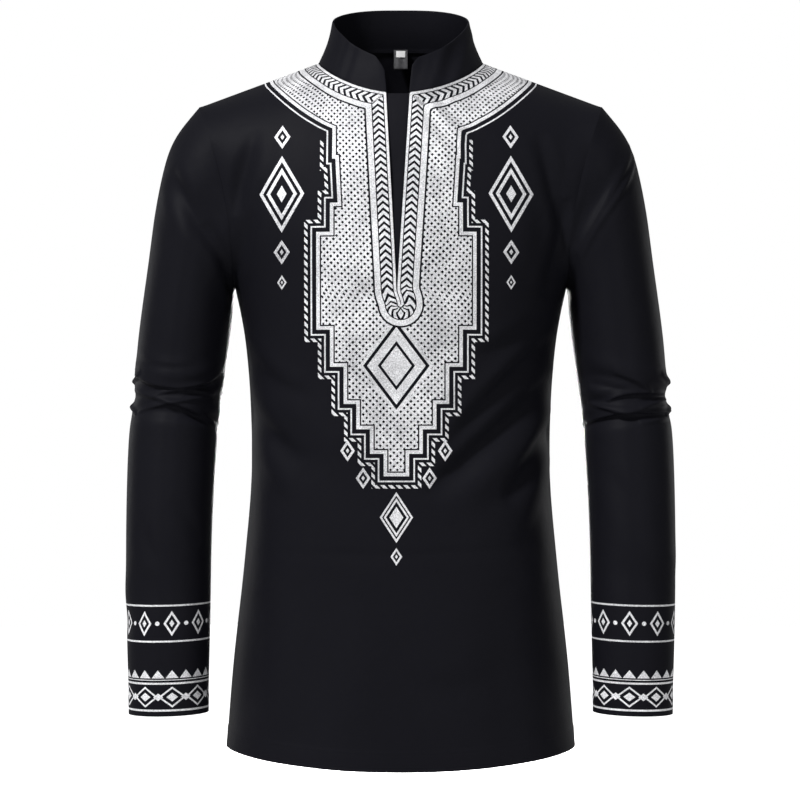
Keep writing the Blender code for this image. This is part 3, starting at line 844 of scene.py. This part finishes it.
def fine_half(side, hand, folds, creases):
    """One half of a panel: its fine points, and the row that the slit ends at."""
    coarse = panel_grid(side, hand)
    # one mirrored column before the middle line, so that the finer columns leave it squarely
    ghost = coarse[:, 1:2].copy()
    ghost[:, :, 0] = 2 * coarse[:, :1, 0] - ghost[:, :, 0]
    wide = across(finer(across(np.concatenate([ghost, coarse], axis=1)), CLOTH_STEP))
    skip = int(np.argmin(np.linalg.norm(wide[0] - coarse[0, 0], axis=-1)))
    grid = finer(wide[:, skip:], CLOTH_STEP)
    slit_row = int(np.argmin(np.linalg.norm(grid[:, 0] - coarse[HEM_ROWS, 0], axis=-1)))
    grid = evened(grid, EVEN_PASSES)
    out = -1.0 if side == "front" else 1.0
    seam = edge_distance(grid, 1, from_end=True)
    top = edge_distance(grid, from_end=True)
    x, _, z = np.moveaxis(grid, -1, 0)
    from_seam = np.minimum(seam, np.abs(shoulder_height(x) - z))
    grid[..., 1] += out * faded(from_seam, FOLD_EDGE) * fold_field(x, z, folds)
    normals = normals_of(grid, (0.0, out, 0.0))
    normals[:, 0, 0] = 0.0
    push = faded(from_seam, CREASE_EDGE) * crease_field(x, z, creases)
    push += hem_stand(edge_distance(grid)) - seam_roll(seam) - seam_roll(top)
    return grid + push[..., None] * normals, slit_row


def border_places(grid, slit_row, neck_columns):
    """For each point, the place along the slit and neckline that is nearest, and how far off it is."""
    line = np.concatenate([grid[slit_row:, 0], grid[-1, 1 : neck_columns + 1]])
    steps = edge_distance(line)
    points = grid.reshape(-1, 3)
    best = np.full(len(points), 1e9)
    place = np.zeros(len(points))
    for a, b, start, end in zip(line, line[1:], steps, steps[1:]):
        run = b - a
        share = np.clip(((points - a) @ run) / max(float(run @ run), 1e-12), 0.0, 1.0)
        off = np.linalg.norm(points - a - share[:, None] * run, axis=1)
        closer = off < best
        best = np.where(closer, off, best)
        place = np.where(closer, start + share * (end - start), place)
    # round the slit's end the place goes on as a turn, so that the pattern fans out there
    end = line[0]
    down = end[2] - points[:, 2]
    aside = np.abs(points[:, 0] - end[0])
    round_end = -BORDER_TURN * np.arctan2(down, np.maximum(aside, 1e-6))
    place = np.where(down > 0, round_end, place)
    return np.stack([place, best], axis=-1).reshape(*grid.shape[:2], 2)


def edged(values, closed):
    """The grid with a row and a column just inside each open edge, so that shading stays even up to it."""
    for turn in (False,) if closed else (False, True):
        rows = across(values) if turn else values
        first = rows[:1] + EDGE_SHARE * (rows[1:2] - rows[:1])
        last = rows[-1:] + EDGE_SHARE * (rows[-2:-1] - rows[-1:])
        rows = np.concatenate([rows[:1], first, rows[1:-1], last, rows[-1:]])
        values = across(rows) if turn else rows
    return values


# A sheet of points with their uv layers, closed round or open, and turned where its columns run the other way
Patch = namedtuple("Patch", "points uvs closed turned")


def flat_uvs(grid, hand=1):
    return {"flat": np.stack([hand * edge_distance(grid, 1), edge_distance(grid)], axis=-1)}


def add_thing(name, data, place=(0.0, 0.0, 0.0), turn=(0.0, 0.0, 0.0)):
    thing = bpy.data.objects.new(name, data)
    thing.location = place
    thing.rotation_euler = turn
    bpy.context.scene.collection.objects.link(thing)
    return thing


def mesh_of(name, patches, materials, thickness, bevel=0.0):
    """A piece from patches, joined where they meet."""
    corners = []
    layers = {}
    for points, uvs, closed, turned in patches:
        if not bevel:
            points = edged(points, closed)
            uvs = {key: edged(values, closed) for key, values in uvs.items()}
        if closed:
            points = np.concatenate([points, points[:, :1]], axis=1)
        index = np.arange(points.shape[0] * points.shape[1]).reshape(points.shape[:2])
        quads = np.stack([index[:-1, :-1], index[:-1, 1:], index[1:, 1:], index[1:, :-1]], axis=-1)
        quads = quads.reshape(-1, 4)[:, :: -1 if turned else 1]
        corners.append(points.reshape(-1, 3)[quads].reshape(-1, 3))
        for key, values in uvs.items():
            layers.setdefault(key, []).append(values.reshape(-1, 2)[quads].reshape(-1, 2))
    corners = np.concatenate(corners)
    keys = np.round(corners / WELD).astype(np.int64)
    _, first, inverse = np.unique(keys, axis=0, return_index=True, return_inverse=True)
    quads = inverse.reshape(-1, 4)
    mesh = bpy.data.meshes.new(name)
    mesh.from_pydata(corners[first], [], quads)
    for key, values in layers.items():
        layer = mesh.uv_layers.new(name=key)
        layer.data.foreach_set("uv", np.concatenate(values).astype(np.float32).ravel())
    mesh.validate()
    mesh.shade_smooth()
    for material in materials:
        mesh.materials.append(material)
    piece = add_thing(name, mesh)
    wall = piece.modifiers.new("wall", "SOLIDIFY")
    wall.thickness = thickness
    wall.offset = -1.0
    wall.use_even_offset = False
    wall.material_offset = wall.material_offset_rim = len(materials) - 1
    if bevel:
        soft = piece.modifiers.new("soft_edge", "BEVEL")
        soft.width = bevel
        soft.segments = 2
        soft.limit_method = "ANGLE"
        soft.angle_limit = math.radians(BEVEL_ANGLE)
    return piece


def make_panel(name, side, folds, creases, materials):
    """The front or the back, and its neckline points on each side."""
    halves = {hand: fine_half(side, hand, folds, creases) for hand in (1, -1)}
    # one middle line for both halves, up to the slit on the front
    joined = halves[1][1] + 1 if side == "front" else None
    middle = (halves[1][0][:joined, 0] + halves[-1][0][:joined, 0]) / 2
    patches = []
    necklines = {}
    for hand, (grid, slit_row) in halves.items():
        grid[:joined, 0] = middle
        uvs = flat_uvs(grid, hand)
        neck_columns = int(np.argmin(np.abs(np.abs(grid[-1, :, 0]) - NECK_HALF)))
        if side == "front":
            uvs["border"] = border_places(grid, slit_row, neck_columns)
        patches.append(Patch(grid, uvs, False, (side == "back") == (hand == 1)))
        necklines[hand] = grid[-1, : neck_columns + 1]
    return mesh_of(name, patches, materials, THIN), necklines


def sleeve_push(grid, turns_at, table, field, edge):
    """How far a field pushes each point; a row may run past the inner side, so both turns count."""
    along = edge_distance(grid.mean(axis=1))
    fade = faded(np.minimum(along, along[-1] - along), edge)[:, None]
    heights = grid[..., 2]
    offset = sum(
        field(np.broadcast_to((turns_at + shift) * SLEEVE_GIRTH, heights.shape), heights, table)
        for shift in (0.0, -1.0)
    )
    return fade * offset


def coarse_sleeve(hand):
    """The solid's rings: the armhole's own loop, which fades into ovals."""
    loop = armhole_loop(hand)
    sections = sleeve_sections()
    first = sleeve_ring(sections[0], hand, len(loop))
    rings = []
    for j, section in enumerate(sections):
        keep = max(1.0 - j / ARMHOLE_FADE_RINGS, 0.0)
        keep = keep * keep * (3.0 - 2.0 * keep)
        rings.append(sleeve_ring(section, hand, len(loop)) + keep * (loop - first))
    grid = np.array(rings)
    grid[..., 0] += hand * SEAM_GAP
    return grid


def make_sleeve(name, hand, folds, creases, materials):
    """A sleeve, closed round, from the armhole to the cuff."""
    coarse = coarse_sleeve(hand)
    count = coarse.shape[1]
    # a few points more on each side, so that the finer ring closes smoothly; the fourth value is the turn
    wrapped = np.concatenate([coarse[:, -2:], coarse, coarse[:, :3]], axis=1)
    shares = np.broadcast_to((np.arange(-2, count + 3) / count)[None, :, None], (*wrapped.shape[:2], 1))
    wide = across(finer(across(np.concatenate([wrapped, shares], axis=-1)), SLEEVE_ASIDE))
    wide = wide[:, (wide[0, :, 3] > -1e-9) & (wide[0, :, 3] < 1.0 - 1e-9)]
    turns_at = wide[0, :, 3]
    grid = evened(finer(wide[..., :3], SLEEVE_STEP), EVEN_PASSES, closed=True)
    middle = grid.mean(axis=1, keepdims=True)
    normals = normals_of(grid, grid - middle, closed=True)
    grid = grid + sleeve_push(grid, turns_at, folds, fold_field, SLEEVE_FOLD_EDGE)[..., None] * normals
    heights = middle[:, 0, 2]
    for closer in CLOSER_ROWS:
        top, foot = np.argmax(heights < closer.top), np.argmax(heights < closer.foot)
        grid = np.concatenate([grid[:top], finer(grid[top : foot + 1], closer.step), grid[foot + 1 :]])
        heights = grid[..., 2].mean(axis=1)
    normals = normals_of(grid, grid - grid.mean(axis=1, keepdims=True), closed=True)
    push = sleeve_push(grid, turns_at, creases, crease_field, SLEEVE_CREASE_EDGE)
    push += hem_stand(edge_distance(grid, from_end=True)) - seam_roll(edge_distance(grid))
    grid = grid + push[..., None] * normals
    v = edge_distance(np.concatenate([grid, grid[:, :1]], axis=1), from_end=True)
    u = np.broadcast_to(np.append(turns_at, 1.0) * CUFF_GIRTH, v.shape)
    patch = Patch(grid, {"flat": np.stack([u, v], axis=-1)}, True, hand == 1)
    return mesh_of(name, [patch], materials, THIN)


def collar_points(base, side):
    """A fine column of the collar, through the coarse one's points."""
    coarse = collar_column(base, side)
    return [curve(coarse, at) for at in np.linspace(0.0, COLLAR_ROWS, COLLAR_FINE_ROWS + 1)]


def make_collar(necklines, materials):
    """The stand collar on the fine neckline, from its left front end round the back to the right."""
    left, right = (
        [collar_points(point, "front") for point in necklines["front"][hand]]
        + [collar_points(point, "back") for point in necklines["back"][hand][-2::-1]]
        for hand in (1, -1)
    )
    grid = across(np.array(left + right[-2::-1]))
    # the base is tucked under the panels' edge
    grid[0, :, 2] -= COLLAR_TUCK
    normals = normals_of(grid, grid * (1.0, 1.0, 0.0))
    push = np.zeros(grid.shape[:2])
    for fold in COLLAR_FOLDS:
        aside = (grid[..., 0] - fold.x - COLLAR_FOLD_LEAN * (grid[..., 2] - fold.rise)) / fold.width
        push -= np.where(grid[..., 1] < 0, fold.depth * np.exp(-(aside**2)), 0.0)
    push -= COLLAR_DIP * (1.0 - faded(edge_distance(grid), COLLAR_DIP_WIDTH)) ** 2
    grid = grid + push[..., None] * normals
    patch = Patch(grid, flat_uvs(grid), False, False)
    return mesh_of("collar_cloth", [patch], materials, COLLAR_THICK, bevel=COLLAR_BEVEL)


def make_guard(materials):
    """The panel behind the slit, from the front's own points moved in."""
    x = np.linspace(SLIT_SHIFT - GUARD_HALF, SLIT_SHIFT + GUARD_HALF, GUARD_POINTS)
    rows = []
    for right, left in zip(panel_grid("front", -1), panel_grid("front", 1)):
        if left[0][2] >= GUARD_BOTTOM:
            line = np.concatenate([right[::-1], left])
            y, z = (np.interp(x, line[:, 0], line[:, axis]) for axis in (1, 2))
            rows.append(np.stack([x, y + CLOTH_WALL + GUARD_HANG, z], axis=-1))
    coarse = np.array(rows)
    # the top edge is nearly level, just under the neckline
    top = coarse[-1, :, 2]
    top -= GUARD_TOP_DROP
    top += GUARD_TOP_LEVEL * (top[GUARD_POINTS // 2] - top)
    grid = finer(coarse, GUARD_STEP)
    waves = np.sin(grid[..., 2] * GUARD_WAVES_UP + 1.0) * np.cos(grid[..., 0] * GUARD_WAVES_ACROSS)
    grid[..., 1] += GUARD_WAVE * waves
    return mesh_of("guard_cloth", [Patch(grid, flat_uvs(grid), False, False)], materials, GUARD_THICK)


def make_label(y, materials):
    """A tape folded double, hanging from the back of the neck with its fold at the bottom."""
    fold_z = LABEL_TOP - LABEL_LENGTH + LABEL_FOLD
    drops = (LABEL_LENGTH - LABEL_FOLD) * np.arange(11) / 10
    turns_down = math.pi * np.arange(1, 8) / 8
    line = [(y + LABEL_LOOP, fold_z + drop) for drop in drops[::-1]]
    line += [(y + LABEL_LOOP * math.cos(t), fold_z - LABEL_LOOP * math.sin(t)) for t in turns_down]
    line += [(y - LABEL_LOOP, fold_z + drop) for drop in drops]
    across_tape = np.linspace(-LABEL_HALF, LABEL_HALF, 11)
    waves = TAPE_WAVE * np.sin(across_tape * TAPE_WAVES_ACROSS)
    grid = np.array([[(x, level + wave, z) for x, wave in zip(across_tape, waves)] for level, z in line])
    return mesh_of("label_tape", [Patch(grid, flat_uvs(grid), False, True)], materials, TAPE_THICK)


def make_tab(y, materials):
    """The small tab on the label, bowed a little."""
    across_tape = np.linspace(-TAB_HALF, TAB_HALF, 9)
    bows = y - TAPE_WAVE * np.cos(across_tape / TAB_HALF * TAB_BOW)
    heights = np.linspace(TAB_TOP - TAB_LENGTH, TAB_TOP, 8)
    grid = np.array([[(x, bow, z) for x, bow in zip(across_tape, bows)] for z in heights])
    patch = Patch(grid, flat_uvs(grid), False, False)
    return mesh_of("tab_tape", [patch], materials, TAPE_THICK, bevel=TAB_BEVEL)


# Materials


class Value:
    """A number in a material's nodes; arithmetic on it adds Math nodes."""

    def __init__(self, tree, socket):
        self.tree = tree
        self.socket = socket

    def math(self, kind, *others):
        node = self.tree.nodes.new("ShaderNodeMath")
        node.operation = kind
        for i, value in enumerate((self, *others)):
            if isinstance(value, Value):
                self.tree.links.new(value.socket, node.inputs[i])
            else:
                node.inputs[i].default_value = value
        return Value(self.tree, node.outputs[0])

    __add__ = partialmethod(math, "ADD")
    __sub__ = partialmethod(math, "SUBTRACT")
    __mul__ = __and__ = partialmethod(math, "MULTIPLY")
    __truediv__ = partialmethod(math, "DIVIDE")
    __gt__ = partialmethod(math, "GREATER_THAN")
    __lt__ = partialmethod(math, "LESS_THAN")
    __or__ = partialmethod(math, "MAXIMUM")
    __abs__ = partialmethod(math, "ABSOLUTE")
    inverse = partialmethod(math, "MULTIPLY_ADD", -1.0, 1.0)

    def between(self, low, high):
        return (self > low) & (self < high)


def new_material(name):
    material = bpy.data.materials.new(name)
    material.use_nodes = True
    tree = material.node_tree
    return material, tree, tree.nodes["Principled BSDF"]


def split(tree, socket):
    node = tree.nodes.new("ShaderNodeSeparateXYZ")
    tree.links.new(socket, node.inputs[0])
    return [Value(tree, out) for out in node.outputs]


def places(tree):
    return split(tree, tree.nodes.new("ShaderNodeTexCoord").outputs["Object"])


def uv(tree, name):
    node = tree.nodes.new("ShaderNodeUVMap")
    node.uv_map = name
    return split(tree, node.outputs[0])[:2]


def noise(tree, scale, detail, roughness):
    node = tree.nodes.new("ShaderNodeTexNoise")
    node.inputs["Scale"].default_value = scale
    node.inputs["Detail"].default_value = detail
    node.inputs["Roughness"].default_value = roughness
    tree.links.new(tree.nodes.new("ShaderNodeTexCoord").outputs["Object"], node.inputs["Vector"])
    return Value(tree, node.outputs["Fac"])


def mixed(tree, fac, first, second):
    """A colour mixed from two colours or sockets."""
    node = tree.nodes.new("ShaderNodeMix")
    node.data_type = "RGBA"
    tree.links.new(fac.socket, node.inputs[0])
    for i, colour in ((6, first), (7, second)):
        if isinstance(colour, tuple):
            node.inputs[i].default_value = (*colour, 1.0)
        else:
            tree.links.new(colour, node.inputs[i])
    return node.outputs[2]


def bump(tree, shader, height):
    """Relief whose height is in metres."""
    node = tree.nodes.new("ShaderNodeBump")
    node.inputs["Strength"].default_value = 1.0
    node.inputs["Distance"].default_value = 1.0
    tree.links.new(height.socket, node.inputs["Height"])
    tree.links.new(node.outputs[0], shader.inputs["Normal"])


def weave_height(u, v):
    """A plain weave: threads that pass over and under one another."""
    warp, weft = ((length * (math.pi / WEAVE_PITCH)).math("SINE") for length in (u, v))
    return warp * weft


def stitches(u, v, at):
    """A row of stitches along u, at a distance v from the edge."""
    return (abs(v - at) < STITCH_HALF) & ((u / STITCH_PITCH).math("FRACT") < STITCH_SHARE)


def foil_wear_and_painted_shade(tree, grain):
    """Tone of the foil: fine grain is its own wear; the cloudy and the broad noises are painted shade and
    painted highlights, as soft grey clouds and broad lighter and darker places.
    """
    # painted shade and painted highlights: grey clouds and broad lighter and darker places on the foil, over
    # its grain
    painted_shade_clouds = noise(tree, *PAINTED_SHADE_CLOUD_NOISE) * FOIL_PAINTED_SHADE
    painted_light_and_shade = (noise(tree, *PAINTED_LIGHT_AND_SHADE_NOISE) - 0.5) * FOIL_PAINTED_LIGHT_AND_SHADE
    return ((grain - 0.5) * FOIL_GRAIN) + painted_shade_clouds + painted_light_and_shade + FOIL_START


def black_cloth(name, foil_print=None, stitch_row=None):
    """Near-black woven cloth; foil_print(tree) gives the share of silver foil on it."""
    material, tree, shader = new_material(name)
    u, v = uv(tree, "flat")
    fine = noise(tree, *FUZZ_NOISE)
    colour = mixed(tree, (noise(tree, *TONE_NOISE) * BROAD_SHARE) + (fine * FINE_SHARE), *CLOTH_TONES)
    wrinkle = noise(tree, *WRINKLE_NOISE)
    height = (weave_height(u, v) * WEAVE_DEPTH) + (wrinkle * WRINKLE_DEPTH) + (fine * FUZZ_DEPTH)
    if stitch_row:
        height = height + (stitches(u, v, stitch_row) * STITCH_DEPTH)
    rough = (fine * ROUGHNESS_SWAY) + CLOTH_ROUGHNESS
    if foil_print:
        foil = foil_print(tree)
        grain = noise(tree, *GRAIN_NOISE)
        colour = mixed(tree, foil, colour, mixed(tree, foil_wear_and_painted_shade(tree, grain), *FOIL_TONES))
        tree.links.new((foil * FOIL_METALLIC).socket, shader.inputs["Metallic"])
        rough = (foil * 0.05) + rough
        height = height + (foil & grain) * FOIL_GRAIN_DEPTH
    tree.links.new(colour, shader.inputs["Base Color"])
    tree.links.new(rough.socket, shader.inputs["Roughness"])
    shader.inputs["Specular IOR Level"].default_value = CLOTH_SPECULAR
    bump(tree, shader, height)
    return material


def diamond(side, z, shape):
    """0 in a diamond's middle and 1 on its edge."""
    return abs(side - shape.aside) / shape.half_width + abs(z - shape.height) / shape.half_height


def any_of(masks):
    total = masks[0]
    for mask in masks[1:]:
        total = total | mask
    return total


def bands_of(reach, bands):
    """Diamond-shaped bands; the innermost takes in the middle."""
    return any_of([reach.between(low - 0.001, high) for low, high in bands])


def chest_print(tree):
    """Share of foil on the front."""
    x, _, z = places(tree)
    along, away = uv(tree, "border")
    u, v = uv(tree, "flat")
    side = abs(x - PRINT_MIDDLE)
    boxes = []
    for step in CHEST_STEPS:
        height = (z - step.bottom).math("MINIMUM", z * -1.0 + step.top)
        boxes.append(height.math("MINIMUM", side * -1.0 + step.half_width))
    inside = any_of([away * -1.0 + YOKE_REACH, *boxes])
    a, b = (abs((slanting / GROUND_PITCH).math("FRACT") - 0.5) for slanting in (u + v, u - v))
    uneven = (noise(tree, *LOZENGE_NOISE) - 0.5) * LOZENGE_UNEVEN
    medallion = diamond(side, z, MEDALLION)
    lozenges = ((a | b) + uneven < LOZENGE_SHARE) & (medallion > MEDALLION_CLEAR)
    ground = (inside > GROUND_START) & lozenges.inverse() & bands_of(medallion, MEDALLION.bands).inverse()
    dashes = inside.between(*DASH_BAND) & (((x + z) / DASH_PITCH).math("FRACT") < DASH_SHARE)
    field = ground | inside.between(*OUTLINE_BAND) | inside.between(*LINE_BAND) | (dashes & (z < DASH_TOP))
    slanted = (along + abs(away - CHEVRON_TIP) * CHEVRON_SLANT) / CHEVRON_PITCH
    chevrons = away.between(*CHEVRON_BAND) & (slanted.math("FRACT") < CHEVRON_SHARE)
    border = any_of([chevrons, *(away.between(*band) for band in BORDER_LINES)])
    loose = [bands_of(diamond(side, z, shape), shape.bands) for shape in CHEST_DIAMONDS]
    return any_of([field & (away > BORDER_REACH), border, *loose])


def cuff_print(tree):
    """Share of foil on a sleeve: a band by the cuff and a narrower one above it."""
    u, v = uv(tree, "flat")
    pitch = CUFF_GIRTH / CUFF_REPEATS
    lines = any_of([v.between(low, high) for low, high in CUFF_LINES])
    from_repeat = u.math("PINGPONG", pitch / 2)
    place = from_repeat * (2 / pitch)
    from_chain = abs(v - CHAIN_MIDDLE) / CHAIN_HALF
    chain = bands_of(place + from_chain, CHAIN_BANDS) | (place.inverse() + from_chain < LINK_REACH)
    tooth = (v - TEETH_FOOT) / TEETH_HEIGHT + u.math("PINGPONG", pitch / 4) * (4 / pitch)
    teeth = (v > TEETH_FOOT) & (tooth < TEETH_REACH)
    above = v - UPPER_MIDDLE
    row = bands_of(from_repeat / UPPER_HALF_WIDTH + abs(above) / UPPER_HALF_HEIGHT, UPPER_BANDS)
    from_dot = from_repeat * -1.0 + pitch / 2
    dots = (from_dot * from_dot + above * above) < DOT_RADIUS**2
    rails = abs(abs(above) - RAIL_AWAY) < RAIL_HALF
    return any_of([lines, chain, teeth, row, dots, rails])


def tape_material(name, tones, tone_noise):
    """A ribbed woven tape."""
    material, tree, shader = new_material(name)
    _, v = uv(tree, "flat")
    rib = (v * (2 * math.pi / RIB_PITCH)).math("SINE")
    tone = noise(tree, *tone_noise)
    tree.links.new(mixed(tree, (tone * 0.6) + (rib * 0.2), *tones), shader.inputs["Base Color"])
    shader.inputs["Roughness"].default_value = TAPE_ROUGHNESS
    bump(tree, shader, (rib * RIB_DEPTH) + (tone * TAPE_FUZZ))
    return material


# Floor, lights and camera


def add_floor():
    """A plain pale floor, as white as the background to the camera."""
    material, tree, shader = new_material("pale_floor")
    tree.links.new(mixed(tree, noise(tree, *FLOOR_NOISE), *FLOOR_TONES), shader.inputs["Base Color"])
    shader.inputs["Roughness"].default_value = 0.9
    shader.inputs["Emission Color"].default_value = WHITE
    seen = tree.nodes.new("ShaderNodeLightPath")
    tree.links.new(seen.outputs["Is Camera Ray"], shader.inputs["Emission Strength"])
    mesh = bpy.data.meshes.new("floor")
    rim = [2 * math.pi * k / FLOOR_SIDES for k in range(FLOOR_SIDES)]
    points = [(FLOOR_RADIUS * math.cos(t), FLOOR_RADIUS * math.sin(t), FLOOR_HEIGHT) for t in rim]
    mesh.from_pydata(points, [], [range(FLOOR_SIDES)])
    mesh.materials.append(material)
    add_thing("floor", mesh)


def add_world():
    """Even light from all round, behind a white background."""
    world = bpy.data.worlds.new("studio")
    bpy.context.scene.world = world
    world.use_nodes = True
    tree = world.node_tree
    ambient = tree.nodes["Background"]
    white = tree.nodes.new("ShaderNodeBackground")
    for node, strength in ((ambient, AMBIENT), (white, BACKGROUND)):
        node.inputs[0].default_value = WHITE
        node.inputs[1].default_value = strength
    seen = tree.nodes.new("ShaderNodeLightPath")
    choice = tree.nodes.new("ShaderNodeMixShader")
    tree.links.new(seen.outputs["Is Camera Ray"], choice.inputs[0])
    tree.links.new(ambient.outputs[0], choice.inputs[1])
    tree.links.new(white.outputs[0], choice.inputs[2])
    tree.links.new(choice.outputs[0], tree.nodes["World Output"].inputs["Surface"])


def add_light(name, place, size, power):
    light = bpy.data.lights.new(name, "AREA")
    light.shape = "RECTANGLE"
    light.size, light.size_y = size
    light.energy = power
    way = Vector(LIGHT_AIM) - Vector(place)
    add_thing(name, light, place, way.to_track_quat("-Z", "Y").to_euler())


def add_camera():
    """The photo's view: level, square to the shirt's front."""
    camera = bpy.data.cameras.new("camera")
    camera.sensor_fit = "HORIZONTAL"
    camera.angle = 2 * math.atan(VIEW_HALF / -CAMERA_PLACE[1])
    bpy.context.scene.camera = add_thing("camera", camera, CAMERA_PLACE, (math.pi / 2, 0.0, 0.0))


# The shirt

plain = black_cloth("black_cloth_plain", stitch_row=HEM_STITCH)
inner = black_cloth("black_cloth_inner")
chest = black_cloth("black_cloth_chest", foil_print=chest_print, stitch_row=HEM_STITCH)
sleeve_cloth = black_cloth("black_cloth_sleeve", foil_print=cuff_print, stitch_row=HEM_STITCH)
collar_cloth = black_cloth("black_cloth_collar", stitch_row=COLLAR_STITCH)

front, front_neck = make_panel("front_cloth", "front", FRONT_FOLDS, FRONT_CREASES, [chest, inner])
back, back_neck = make_panel("back_cloth", "back", BACK_FOLDS, BACK_CREASES, [plain, inner])
left = make_sleeve("sleeve_left_cloth", 1, LEFT_SLEEVE_FOLDS, LEFT_CREASES, [sleeve_cloth, inner])
right = make_sleeve("sleeve_right_cloth", -1, RIGHT_SLEEVE_FOLDS, RIGHT_CREASES, [sleeve_cloth, inner])
collar = make_collar({"front": front_neck, "back": back_neck}, [collar_cloth])
guard = make_guard([inner])
label_y = panel_point(0.0, NECK["back"].height, "back")[1] - LABEL_HANG
label = make_label(label_y, [tape_material("label_weave", LABEL_TONES, LABEL_NOISE)])
tab = make_tab(label_y - TAB_HANG, [tape_material("tab_weave", TAB_TONES, TAB_NOISE)])

for piece, node, slot in (
    (front, "front", "black_cloth"),
    (back, "back", "black_cloth"),
    (left, "sleeve_left", "black_cloth"),
    (right, "sleeve_right", "black_cloth"),
    (collar, "collar", "black_cloth"),
    (guard, "slit_guard", "black_cloth"),
    (label, "neck_label", "label_cloth"),
    (tab, "size_tab", "tab_cloth"),
):
    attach(piece, "root")
    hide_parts(node)

bpy.context.scene.view_settings.view_transform = "Standard"
add_floor()
add_world()
for light in LIGHTS:
    add_light(*light)
add_camera()
